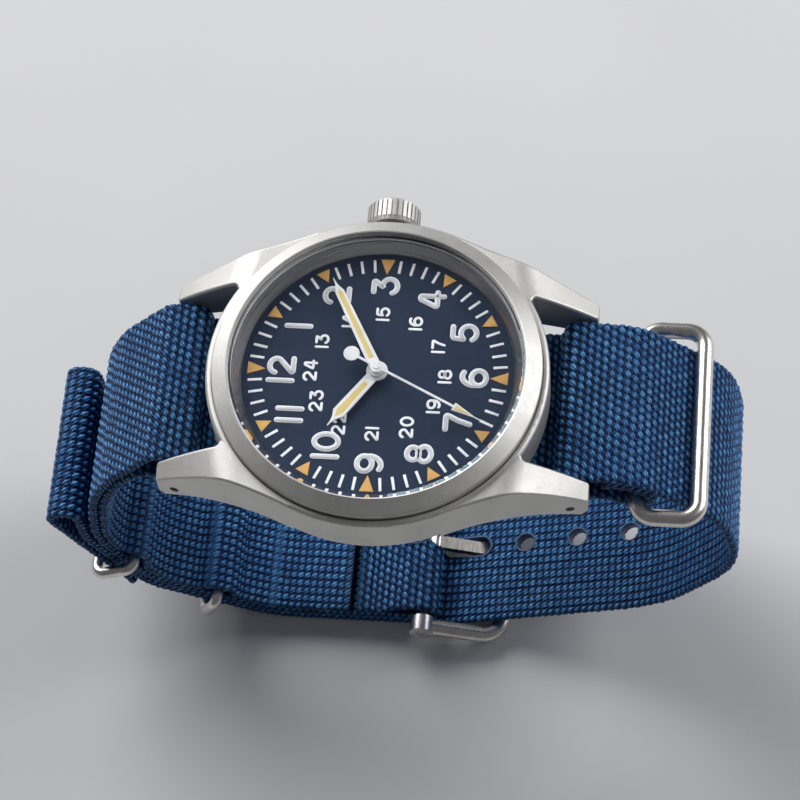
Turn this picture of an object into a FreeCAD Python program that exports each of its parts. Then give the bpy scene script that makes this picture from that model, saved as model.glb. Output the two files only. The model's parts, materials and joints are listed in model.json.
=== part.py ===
import FreeCAD, Part
import math
import os

from FreeCAD import Vector

# Wristwatch on a pass-through webbing strap, millimetres.
# The sections below use the dial frame: z = 0 just above the dial, +Z out of the dial,
# +X towards 3 o'clock (the crown) and +Y towards 12 o'clock.
# save() lifts every piece so that the strap's flat lowest face is at z = 0.

REST_Z = -47.0           # lowest face of the closed strap, in the dial frame

# ---- watch head ----
CASE_R = 18.85
CASE_TOP = 0.95
CASE_EDGE = 0.5          # rounding of the case's upper edge
CASE_BOTTOM = -4.5
BEZEL_R = 18.06
BEZEL_SEAT = 0.45
GROOVE_R = 18.2          # outside of the narrow groove round the bezel
CRYSTAL_R = 16.15
CRYSTAL_UNDER = 1.5
CRYSTAL_TOP = 2.7
COUNTERBORE_R = 17.2
RING_BORE_R = 16.4
HOLDER_BORE_R = 15.2
DIAL_TOP = -0.5
DIAL_THICK = 0.4
DIAL_R = 16.3
BACK_TOP = -5.2
BACK_BOTTOM = -6.6
THREAD_R = 15.9
GASKET_TOP = -4.95

# ---- lugs and spring bars ----
LUG_GAP = 20.0
LUG_TIP_X = 12.2
LUG_TIP_Y = 23.66
LUG_LEAN = 9.6           # slant of a lug's flank at its tip, in degrees, seen from above
LUG_CORNER = 0.5         # rounding in the corner between a lug and the case
LUG_EDGE = 0.3           # rounding of a lug's long upper edges
LUG_TIP_EDGE = 0.4       # rounding of the upright edges at a lug's tip
BAR_Y = 21.7
BAR_Z = -5.6
BAR_R = 0.75
PIN_R = 0.45
PIN_TRAVEL = 0.9

# ---- crown and stem, along +X ----
STEM_Z = -1.95
CROWN_X0 = 19.25
CROWN_LENGTH = 2.9
CROWN_R = 3.0
CROWN_FLUTES = 32
TUBE_R = 1.3
TUBE_X0 = 16.6
SHIFT = 0.4              # how far the yoke moves the sliding pinion

# ---- movement ----
PLATE_R = 13.0
PLATE_TOP = -0.95
PLATE_BOTTOM = -2.6
WORK_FLOOR = -1.7        # floor of the motion-work recess in the plate
BRIDGE_TOP = -3.85
BRIDGE_BOTTOM = -4.1
TRAIN_STEP = 3.4         # centre arbor to third arbor
DRIVE_STEP = 3.5         # centre arbor to fifth arbor
MOTION_STEP = 2.88       # centre arbor to minute-wheel post
ROTOR_STEP = 2.7         # fifth arbor to rotor
THIRD_ANGLE = 235.0
FIFTH_ANGLE = 75.0
MINUTE_ANGLE = -35.0
RUN = 0.04               # running clearance of an arbor in its hole
ARBOR_R = 0.12

# ---- strap ----
WEB_WIDTH = 19.8
WEB_THICK = 1.2
WEB_GAP = 0.05
WEB_STEP = WEB_THICK + WEB_GAP
HOLE_R = 1.0
HOLE_PITCH = 6.65

# The buckle lies under the wrist opening.
FRONT_BAR_Y = -13.0
FRONT_BAR_R = 1.0
BUCKLE_BAR_Y = -3.5
BUCKLE_BAR_R = 0.8
TAIL_Z = REST_Z + WEB_THICK / 2
MAIN_Z = TAIL_Z + WEB_STEP
BUCKLE_BAR_Z = MAIN_Z + WEB_THICK / 2 + WEB_GAP + BUCKLE_BAR_R
FRONT_BAR_Z = REST_Z + FRONT_BAR_R
OVER_FRONT_Z = FRONT_BAR_Z + FRONT_BAR_R + WEB_GAP + WEB_THICK / 2

X = Vector(1, 0, 0)
Y = Vector(0, 1, 0)
Z = Vector(0, 0, 1)

os.makedirs("parts", exist_ok=True)


# ---------------------------------------------------------------- helpers

def save(name, shapes):
    """Write one node, lifted from the dial frame onto the resting plane."""
    solids = shapes if isinstance(shapes, list) else [shapes]
    solids = [s for shape in solids for s in shape.Solids]
    for solid in solids:
        if not solid.isValid():
            print("INVALID", name)
    body = solids[0] if len(solids) == 1 else Part.makeCompound(solids)
    body = body.copy()
    body.translate(Vector(0, 0, -REST_Z))
    body.exportStep("parts/" + name + ".step")
    print(name, len(solids), round(body.Volume, 3))


def face_of(points, to3d):
    return Part.Face(Part.makePolygon([to3d(*p) for p in points + points[:1]]))


def turned(points):
    """Solid of revolution about Z from (radius, z) corners."""
    return face_of(points, lambda r, z: Vector(r, 0, z)).revolve(Vector(0, 0, 0), Z, 360)


def ring(r_in, r_out, z0, z1, at=(0, 0)):
    base = Vector(at[0], at[1], z0)
    body = Part.makeCylinder(r_out, z1 - z0, base)
    if r_in:
        body = body.cut(Part.makeCylinder(r_in, z1 - z0 + 0.2, base - Z * 0.1))
    return body


def disc(r, z0, z1, at=(0, 0)):
    return ring(0, r, z0, z1, at)


def rod_x(r, x0, x1, y, z):
    return Part.makeCylinder(r, x1 - x0, Vector(x0, y, z), X)


def tube_x(r_in, r_out, x0, x1, y, z):
    return rod_x(r_out, x0, x1, y, z).cut(rod_x(r_in, x0 - 0.1, x1 + 0.1, y, z))


def box(x0, x1, y0, y1, z0, z1):
    return Part.makeBox(x1 - x0, y1 - y0, z1 - z0, Vector(x0, y0, z0))


def polar(radius, angle):
    a = math.radians(angle)
    return (radius * math.cos(a), radius * math.sin(a))


def spin(shape, angle, at=(0, 0)):
    shape = shape.copy()
    shape.rotate(Vector(at[0], at[1], 0), Z, angle)
    return shape


def fuse(first, *others):
    return first.multiFuse(list(others)).removeSplitter()


def gear(teeth, module, z0, z1, at=(0, 0), phase=0.0, bore=0.0):
    """Spur gear of straight-flanked teeth; phase turns it by a share of one tooth pitch."""
    pitch = 360.0 / teeth
    r = module * teeth / 2
    root, tip = r - 1.15 * module, r + 0.85 * module
    points = []
    for i in range(teeth):
        mid = (i + phase) * pitch
        for radius, share in ((root, -0.36), (tip, -0.12), (tip, 0.12), (root, 0.36)):
            points.append(polar(radius, mid + share * pitch))
    face = face_of(points, lambda x, y: Vector(at[0] + x, at[1] + y, z0))
    body = face.extrude(Z * (z1 - z0))
    if bore:
        body = body.cut(disc(bore, z0 - 0.1, z1 + 0.1, at))
    return body


def spokes(wheel, r_in, r_out, z0, z1, at=(0, 0), count=4):
    """Cut windows between spokes in a thin wheel."""
    window = ring(r_in, r_out, z0 - 0.1, z1 + 0.1, at)
    for i in range(count):
        bar = box(at[0], at[0] + r_out + 1, at[1] - 0.22, at[1] + 0.22, z0 - 1, z1 + 1)
        window = window.cut(spin(bar, i * 360.0 / count, at))
    return wheel.cut(window)


def route_edges(route, offset):
    """Runs joined by tangent arcs through (y, z, radius) corners, shifted to the left by offset."""
    corners = [Vector(0, y, z) for y, z, _ in route]
    radii = [r for _, _, r in route]
    runs = []
    arcs = []
    start = corners[0]
    for i in range(1, len(corners) - 1):
        a = (corners[i] - corners[i - 1]).normalize()
        b = (corners[i + 1] - corners[i]).normalize()
        turn = math.atan2(a.y * b.z - a.z * b.y, a.dot(b))
        side = 1 if turn > 0 else -1
        tangent = radii[i] * math.tan(abs(turn) / 2)
        p = corners[i] - a * tangent
        q = corners[i] + b * tangent
        left_a = Vector(0, -a.z, a.y)
        centre = p + left_a * (side * radii[i])
        half = (corners[i] - centre).normalize()
        r = radii[i] - side * offset
        runs.append((start + left_a * offset, p + left_a * offset))
        left_b = Vector(0, -b.z, b.y)
        arcs.append((p + left_a * offset, centre + half * r, q + left_b * offset))
        start = q
    b = (corners[-1] - corners[-2]).normalize()
    left_b = Vector(0, -b.z, b.y)
    runs.append((start + left_b * offset, corners[-1] + left_b * offset))
    edges = []
    for i, (p, q) in enumerate(runs):
        if (q - p).Length > 1e-6:
            edges.append(Part.LineSegment(p, q).toShape())
        if i < len(arcs):
            edges.append(Part.Arc(*arcs[i]).toShape())
    return edges


def ends(edges):
    return edges[0].Vertexes[0].Point, edges[-1].Vertexes[-1].Point


def webbing(route, thick=WEB_THICK, width=WEB_WIDTH):
    """A flat band of the given thickness along a (y, z, radius) route."""
    left = route_edges(route, thick / 2)
    right = route_edges(route, -thick / 2)
    (l0, l1), (r0, r1) = ends(left), ends(right)
    caps = [Part.LineSegment(l0, r0).toShape(), Part.LineSegment(l1, r1).toShape()]
    wire = Part.Wire(Part.__sortEdges__(left + right + caps))
    face = Part.Face(wire)
    face.translate(Vector(-width / 2, 0, 0))
    return face.extrude(X * width)


def wire_loop(inner_half, depth, corner, wire_r, y, z, angle):
    """Round-wire rounded rectangle: long sides along X, depth along the direction at angle in YZ.
    The first long side is centred on (y, z)."""
    half_x = inner_half + wire_r
    path = []
    pts = [(-half_x, 0), (half_x, 0), (half_x, depth), (-half_x, depth)]
    dirs = [(1, 0), (0, 1), (-1, 0), (0, -1)]
    for i in range(4):
        ax, ad = pts[i]
        bx, bd = pts[(i + 1) % 4]
        dx, dd = dirs[i]
        nx, nd = dirs[(i + 1) % 4]
        p = Vector(ax + dx * corner, ad + dd * corner, 0)
        q = Vector(bx - dx * corner, bd - dd * corner, 0)
        path.append(Part.LineSegment(p, q).toShape())
        end = Vector(bx + nx * corner, bd + nd * corner, 0)
        centre = Vector(bx - dx * corner + nx * corner, bd - dd * corner + nd * corner, 0)
        mid = centre + (Vector(bx, bd, 0) - centre).normalize() * corner
        path.append(Part.Arc(q, mid, end).toShape())
    spine = Part.Wire(path)
    start = path[0].Vertexes[0].Point
    section = Part.Wire(Part.makeCircle(wire_r, start, X))
    body = spine.makePipeShell([section], True, True)
    body.rotate(Vector(0, 0, 0), X, angle)
    body.translate(Vector(0, y, z))
    return body


# ---------------------------------------------------------------- watch head

def lug_side(x, start, bend_r, bend, tip_z):
    """Outline of a lug at x: level from the case, bent down by an angle, then on to the tip."""
    a = math.radians(bend)
    level = Vector(x, start, CASE_TOP)
    bent = level + Vector(0, bend_r * math.sin(a), bend_r * (math.cos(a) - 1))
    half = level + Vector(0, bend_r * math.sin(a / 2), bend_r * (math.cos(a / 2) - 1))
    tip = Vector(x, LUG_TIP_Y, tip_z)
    chord = tip - bent
    fall = math.atan2(-chord.z, chord.y)
    bow = Vector(0, math.sin(fall), math.cos(fall)) * (chord.Length / 2 * math.tan((fall - a) / 2))
    toe = Vector(x, LUG_TIP_Y, -6.4)
    heel = Vector(x, 22.9, -7.3)
    root = Vector(x, 8, CASE_BOTTOM)
    top = Vector(x, 8, CASE_TOP)
    return Part.Wire([Part.LineSegment(top, level).toShape(), Part.Arc(level, half, bent).toShape(),
                      Part.Arc(bent, (bent + tip) * 0.5 + bow, tip).toShape(),
                      Part.LineSegment(tip, toe).toShape(), Part.LineSegment(toe, heel).toShape(),
                      Part.Arc(heel, Vector(x, 18.4, -5.8), root).toShape(),
                      Part.LineSegment(root, top).toShape()])


def lug(side_x, side_y):
    """One curved lug: level with the case top at its root, drooping to a blunt tip."""
    inner = LUG_GAP / 2
    start = inner - LUG_CORNER
    bar = Part.makeLoft([lug_side(start, 15.2, 5.0, 29.0, -3.8),
                         lug_side(17.2, 13.3, 4.9, 35.0, -5.72)], True, True)
    # Seen from above, the flank is a shallow arc that leaves the case as a tangent.
    lean = math.radians(LUG_LEAN)
    reach = LUG_TIP_X ** 2 + LUG_TIP_Y ** 2 - CASE_R ** 2
    flank_r = reach / 2 / (CASE_R - LUG_TIP_X * math.cos(lean) - LUG_TIP_Y * math.sin(lean))
    centre = (LUG_TIP_X + flank_r * math.cos(lean), LUG_TIP_Y + flank_r * math.sin(lean))
    web = face_of([(0, 0), centre, (LUG_TIP_X, LUG_TIP_Y), (0, LUG_TIP_Y)],
                  lambda x, y: Vector(x, y, -20))
    web = web.extrude(Z * 30).cut(disc(flank_r, -21, 11, centre))
    corner_y = math.sqrt((CASE_R + LUG_CORNER) ** 2 - start ** 2)
    body = bar.common(fuse(disc(CASE_R - 0.01, -20, 10), web))
    body = body.cut(box(0, inner, corner_y, 30, -20, 10))
    body = body.cut(disc(LUG_CORNER, -20, 10, (start, corner_y)))
    body = body.cut(disc(CASE_R - CASE_EDGE + 0.05, -21, 11))
    upright = [e for e in body.Edges
               if e.BoundBox.YMin > LUG_TIP_Y - 0.01 and e.BoundBox.XLength < 0.1]
    body = body.makeFillet(LUG_TIP_EDGE, upright)
    upper = [e for e in body.Edges
             if e.BoundBox.ZLength > 3.5 and e.BoundBox.YLength > 5 and e.BoundBox.ZMax > 0]
    body = body.makeFillet(LUG_EDGE, upper)
    if side_x < 0:
        body = body.mirror(Vector(0, 0, 0), X)
    if side_y < 0:
        body = body.mirror(Vector(0, 0, 0), Y)
    return body


def case_middle():
    profile = [(GROOVE_R, CASE_TOP), (CASE_R, CASE_TOP), (CASE_R, CASE_BOTTOM + 0.5),
               (CASE_R - 0.3, CASE_BOTTOM), (17.7, -5.6), (17.0, -5.6), (17.0, BACK_TOP),
               (THREAD_R + RUN, BACK_TOP), (THREAD_R + RUN, -4.2), (HOLDER_BORE_R, -4.2),
               (HOLDER_BORE_R, DIAL_TOP - DIAL_THICK), (RING_BORE_R, DIAL_TOP - DIAL_THICK),
               (RING_BORE_R, 0.2), (COUNTERBORE_R, 0.2), (COUNTERBORE_R, BEZEL_SEAT),
               (GROOVE_R, BEZEL_SEAT)]
    body = turned(profile)
    rim = [e for e in body.Edges if e.BoundBox.ZMin > CASE_TOP - 0.01 and e.BoundBox.XMax > CASE_R - 0.01]
    body = body.makeFillet(CASE_EDGE, rim)
    body = fuse(body, *[lug(sx, sy) for sx in (1, -1) for sy in (1, -1)])
    for sy in (1, -1):
        body = body.cut(rod_x(PIN_R + 0.05, -20, 20, sy * BAR_Y, BAR_Z))
    body = body.cut(ring(16.1, 16.6, BACK_TOP - 0.1, GASKET_TOP))
    return body.cut(rod_x(1.0, 14, 17, 0, STEM_Z)).cut(rod_x(TUBE_R, TUBE_X0, 25, 0, STEM_Z))


def bezel():
    return turned([(16.3, 2.75), (16.45, 2.8), (17.98, 1.9), (BEZEL_R, 1.82), (BEZEL_R, BEZEL_SEAT),
                   (COUNTERBORE_R, BEZEL_SEAT), (COUNTERBORE_R, 0.2), (16.75, 0.2),
                   (16.75, 2.35), (16.3, 2.35)])


def case_back():
    body = turned([(0, BACK_BOTTOM), (15.6, BACK_BOTTOM), (16.9, -5.9), (16.9, BACK_TOP),
                   (THREAD_R, BACK_TOP), (THREAD_R, -4.35), (14.9, -4.35), (14.9, -5.0), (0, -5.0)])
    for i in range(6):
        notch = box(15.0, 17.5, -1.1, 1.1, BACK_BOTTOM - 1, -5.95)
        body = body.cut(spin(notch, 60 * i + 30))
    return body.cut(ring(11.6, 12.0, BACK_BOTTOM - 0.1, BACK_BOTTOM + 0.12))


def crown():
    x0, x1 = CROWN_X0, CROWN_X0 + CROWN_LENGTH
    body = face_of([(x0, 1.75), (x0, 2.6), (x0 + 0.35, CROWN_R), (x1 - 0.5, CROWN_R),
                    (x1 - 0.12, 2.55), (x1, 2.0), (x1, 0), (x0 + 1.5, 0), (x0 + 1.5, 1.75)],
                   lambda x, r: Vector(x, r, 0)).revolve(Vector(0, 0, 0), X, 360)
    for i in range(CROWN_FLUTES):
        flute = box(x0 - 0.1, x1 - 0.2, -0.1, 0.1, CROWN_R - 0.22, CROWN_R + 1)
        flute.rotate(Vector(0, 0, 0), X, i * 360.0 / CROWN_FLUTES)
        body = body.cut(flute)
    body.translate(Vector(0, 0, STEM_Z))
    boss = rod_x(0.8, x0 + 0.6, x0 + 1.6, 0, STEM_Z).cut(rod_x(0.5, x0, x0 + 1.2, 0, STEM_Z))
    return fuse(body, boss)


def watch_head():
    save("case_middle", case_middle())
    save("bezel", bezel())
    save("crystal", turned([(0, CRYSTAL_UNDER), (CRYSTAL_R, CRYSTAL_UNDER),
                            (CRYSTAL_R, CRYSTAL_TOP - 0.25), (CRYSTAL_R - 0.25, CRYSTAL_TOP),
                            (0, CRYSTAL_TOP)]))
    save("crystal_gasket", turned([(15.95, 1.0), (16.75, 1.0), (16.75, 2.35), (CRYSTAL_R, 2.35),
                                   (CRYSTAL_R, CRYSTAL_UNDER), (15.95, CRYSTAL_UNDER)]))
    save("chapter_ring", turned([(14.95, DIAL_TOP), (16.35, DIAL_TOP), (16.35, 0.95),
                                 (15.85, 0.95), (15.75, 0.8), (15.05, -0.3)]))
    save("case_back", case_back())
    save("case_back_gasket", ring(16.1, 16.6, BACK_TOP, GASKET_TOP))
    save("crown", crown())
    save("crown_tube", tube_x(0.85, TUBE_R, TUBE_X0, CROWN_X0 + 1.4, 0, STEM_Z))
    save("crown_gasket", tube_x(1.33, 1.75, CROWN_X0 + 0.1, CROWN_X0 + 0.6, 0, STEM_Z))


# ---------------------------------------------------------------- dial and hands

def hand_angle(turns):
    """Angle from +X of a hand that has gone that share of a turn past 12 o'clock."""
    return 90.0 - 360.0 * turns


SECONDS = 34.5
HOUR_ANGLE = hand_angle((10 + 10 / 60 + SECONDS / 3600) / 12)
MINUTE_HAND_ANGLE = hand_angle(10.42 / 60)
SECOND_ANGLE = hand_angle(SECONDS / 60)
NEEDLE = 0.05            # half width of a hand's thin point
SECOND_Z0 = 1.16
SECOND_Z1 = 1.28


def baton(root, shoulder, at, length, z0, z1):
    """A hand's blade: half width from root to shoulder, then a hollow-sided needle point."""
    edge = [(0, root)]
    for i in range(9):
        share = i / 8
        half = NEEDLE + (shoulder - NEEDLE) * (1 - share) ** 2.2
        edge.append((at + (length - at) * share, half))
    points = edge + [(x, -y) for x, y in edge[::-1]]
    return face_of(points, lambda x, y: Vector(x, y, z0)).extrude(Z * (z1 - z0))


def lume_bed(start, root, at, shoulder, tip, z0, z1):
    """The pointed slot of a hand that its luminous fill sits in."""
    points = [(start, -root), (at, -shoulder), (tip, 0), (at, shoulder), (start, root)]
    return face_of(points, lambda x, y: Vector(x, y, z0)).extrude(Z * (z1 - z0))


def hands():
    hour = baton(0.65, 0.73, 6.55, 8.4, 0.0, 0.18).fuse(disc(1.18, 0.0, 0.24))
    hour = hour.cut(disc(0.75, -1, 1)).cut(lume_bed(1.8, 0.28, 6.3, 0.42, 7.1, 0.06, 1))
    save("hour_hand", spin(hour, HOUR_ANGLE))
    save("hour_hand_lume", spin(lume_bed(1.8, 0.28, 6.3, 0.42, 7.1, 0.06, 0.17), HOUR_ANGLE))
    minute = baton(0.66, 0.5, 10.7, 12.55, 0.38, 0.56).fuse(disc(0.88, 0.38, 0.66))
    bed = (1.5, 0.27, 10.5, 0.27, 11.05, 0.44)
    minute = minute.cut(disc(0.45, 0, 1)).cut(lume_bed(*bed, 1))
    save("minute_hand", spin(minute, MINUTE_HAND_ANGLE))
    save("minute_hand_lume", spin(lume_bed(*bed, 0.55), MINUTE_HAND_ANGLE))

    z0, z1 = SECOND_Z0, SECOND_Z1
    outline = [(-3.2, -0.14), (9.78, -0.13), (9.78, -0.49), (12.4, -NEEDLE), (13.3, -NEEDLE),
               (13.3, NEEDLE), (12.4, NEEDLE), (9.78, 0.49), (9.78, 0.13), (-3.2, 0.14)]
    second = face_of(outline, lambda x, y: Vector(x, y, z0)).extrude(Z * (z1 - z0))
    second = fuse(second, disc(0.71, z0, z1), disc(0.88, z0, z1, (-3.2, 0)),
                  disc(0.35, z0, z1 + 0.1), disc(0.4, 0.72, z0))
    second = second.cut(disc(ARBOR_R, 0, z1 - 0.02))
    save("second_hand", spin(second, SECOND_ANGLE))
    lume = [(10.05, -0.26), (11.9, 0), (10.05, 0.26)]
    lume = face_of(lume, lambda x, y: Vector(x, y, z1)).extrude(Z * 0.05)
    save("second_hand_lume", spin(lume, SECOND_ANGLE))


# ---------------------------------------------------------------- movement

THIRD_AT = polar(TRAIN_STEP, THIRD_ANGLE)
FIFTH_AT = polar(DRIVE_STEP, FIFTH_ANGLE)
ROTOR_AT = polar(DRIVE_STEP + ROTOR_STEP, FIFTH_ANGLE)
MINUTE_AT = polar(MOTION_STEP, MINUTE_ANGLE)
SETTING_STEP = 0.12 * (36 + 18) / 2
SETTING_AT = (MINUTE_AT[0] + math.sqrt(SETTING_STEP ** 2 - MINUTE_AT[1] ** 2), 0.0)
PINION_X0 = SETTING_AT[0] + 1.25 + SHIFT
LEVER_AT = (11.0, 4.6)
GROOVE_X = 11.0
BATTERY_AT = (-6.6, 5.2)
BATTERY_R = 3.4
COIL_Y = 9.6
SCREWS_AT = [polar(12.0, a) for a in (20, 160, 205, 280, 325)]


def mesh_phase(teeth, driver_teeth, driver_phase, angle):
    """Phase that puts a tooth gap of this gear opposite the driver's tooth across the centres."""
    at_driver = angle * driver_teeth / 360.0 - driver_phase
    return (angle + 180.0) * teeth / 360.0 + at_driver + 0.5


def wheel_set():
    """The going train from rotor to centre wheel, then the motion work under the dial."""
    second = spokes(gear(60, 0.1, -3.5, -3.32), 0.9, 2.5, -3.5, -3.32)
    pinion = gear(8, 0.1, -3.32, -3.08)
    arbor = fuse(disc(ARBOR_R, -3.95, SECOND_Z1 - 0.02), disc(0.3, -3.75, -3.5))
    save("second_wheel", fuse(second, pinion, arbor))

    phase = mesh_phase(60, 8, 0, THIRD_ANGLE)
    wheel = spokes(gear(60, 0.1, -3.28, -3.12, THIRD_AT, phase), 0.9, 2.5, -3.28, -3.12, THIRD_AT)
    save("third_wheel", fuse(wheel, gear(8, 0.26 / 2.7528, -3.12, -2.72, THIRD_AT),
                             disc(0.15, -3.95, -2.4, THIRD_AT)))

    centre_m = 0.26 / 2.7528
    phase = mesh_phase(64, 8, 0, THIRD_ANGLE + 180)
    wheel = gear(64, centre_m, -3.0, -2.84, (0, 0), phase, 0.45)
    save("center_wheel", spokes(wheel, 0.9, 2.5, -3.0, -2.84))
    pipe = ring(0.16, 0.45, -3.02, 0.56)
    collar = ring(0.3, 0.7, -2.84, -1.62)
    save("cannon_pinion", fuse(pipe, collar, gear(12, 0.12, -1.62, -1.3, (0, 0), 0, 0.3)))

    phase = mesh_phase(10, 60, 0, FIFTH_ANGLE)
    wheel = gear(60, 0.075, -3.74, -3.6, FIFTH_AT, 0)
    save("fifth_wheel", fuse(wheel, gear(10, 0.1, -3.6, -3.26, FIFTH_AT, phase),
                             disc(0.12, -3.95, -2.4, FIFTH_AT)))
    phase = mesh_phase(12, 60, 0, FIFTH_ANGLE)
    save("rotor_pinion", fuse(gear(12, 0.075, -3.8, -3.5, ROTOR_AT, phase),
                              disc(0.22, -3.5, -3.3, ROTOR_AT), disc(0.1, -3.95, -2.4, ROTOR_AT)))
    save("rotor_magnet", ring(0.1, 0.85, -3.3, -2.8, ROTOR_AT))

    phase = mesh_phase(36, 12, 0, MINUTE_ANGLE)
    wheel = gear(36, 0.12, -1.6, -1.34, MINUTE_AT, phase, 0.29)
    save("minute_wheel", fuse(wheel, gear(10, 0.1152, -1.34, -1.03, MINUTE_AT, 0, 0.29)))
    phase = mesh_phase(40, 10, 0, MINUTE_ANGLE + 180)
    hour = gear(40, 0.1152, -1.26, -1.06, (0, 0), phase, 0.5)
    save("hour_wheel", fuse(hour, ring(0.5, 0.75, -1.26, 0.16)))
    save("dial_washer", ring(0.85, 1.9, -1.02, -0.92))
    away = math.degrees(math.atan2(-MINUTE_AT[1], SETTING_AT[0] - MINUTE_AT[0]))
    phase = mesh_phase(18, 36, mesh_phase(36, 12, 0, MINUTE_ANGLE), away)
    save("setting_wheel", gear(18, 0.12, -1.6, -1.12, SETTING_AT, phase, 0.34))


def keyless_works():
    """Stem, sliding pinion, setting lever and yoke."""
    pinion = rod_x(0.62, PINION_X0, PINION_X0 + 2.2, 0, STEM_Z)
    pinion = fuse(pinion, rod_x(0.85, PINION_X0, PINION_X0 + 0.8, 0, STEM_Z),
                  rod_x(0.85, PINION_X0 + 1.4, PINION_X0 + 2.2, 0, STEM_Z))
    for i in range(10):
        slot = box(PINION_X0 - 0.1, PINION_X0 + 0.3, -0.11, 0.11, 0.5, 1.2)
        slot.rotate(Vector(0, 0, 0), X, 36 * i)
        slot.translate(Vector(0, 0, STEM_Z))
        pinion = pinion.cut(slot)
    half = 0.32
    square = box(PINION_X0 - 1, PINION_X0 + 4, -half, half, STEM_Z - half, STEM_Z + half)
    save("sliding_pinion", pinion.cut(square))

    flat = half - 0.03
    stem = box(PINION_X0 - 0.2, PINION_X0 + 2.9, -flat, flat, STEM_Z - flat, STEM_Z + flat)
    body = rod_x(0.55, PINION_X0 + 2.8, CROWN_X0 + 1.2, 0, STEM_Z)
    body = body.cut(tube_x(0.3, 1.0, GROOVE_X - 0.45, GROOVE_X + 0.45, 0, STEM_Z))
    thread = rod_x(0.5, CROWN_X0 - 1, CROWN_X0 + 1.2, 0, STEM_Z)
    body = body.cut(rod_x(1.0, CROWN_X0 + 0.5, CROWN_X0 + 1.3, 0, STEM_Z)).fuse(thread)
    save("stem", fuse(stem, body))

    ax, ay = LEVER_AT
    arm = box(ax - 0.5, ax + 0.5, 0.35, ay, -1.3, -1.1)
    arm = fuse(arm, disc(0.85, -1.3, -1.1, LEVER_AT), disc(0.24, STEM_Z, -1.1, (ax, 0.55)))
    save("setting_lever", arm.cut(disc(0.34, -2, 0, LEVER_AT)))

    fork_x = PINION_X0 + 1.1
    fork = box(fork_x - 0.26, fork_x + 0.26, 0.66, 4.4, STEM_Z - 0.15, STEM_Z + 0.15)
    rail = box(fork_x - 2.4, fork_x + 0.26, 3.6, 4.4, STEM_Z - 0.15, STEM_Z + 0.15)
    save("yoke", fuse(fork, rail))


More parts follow.
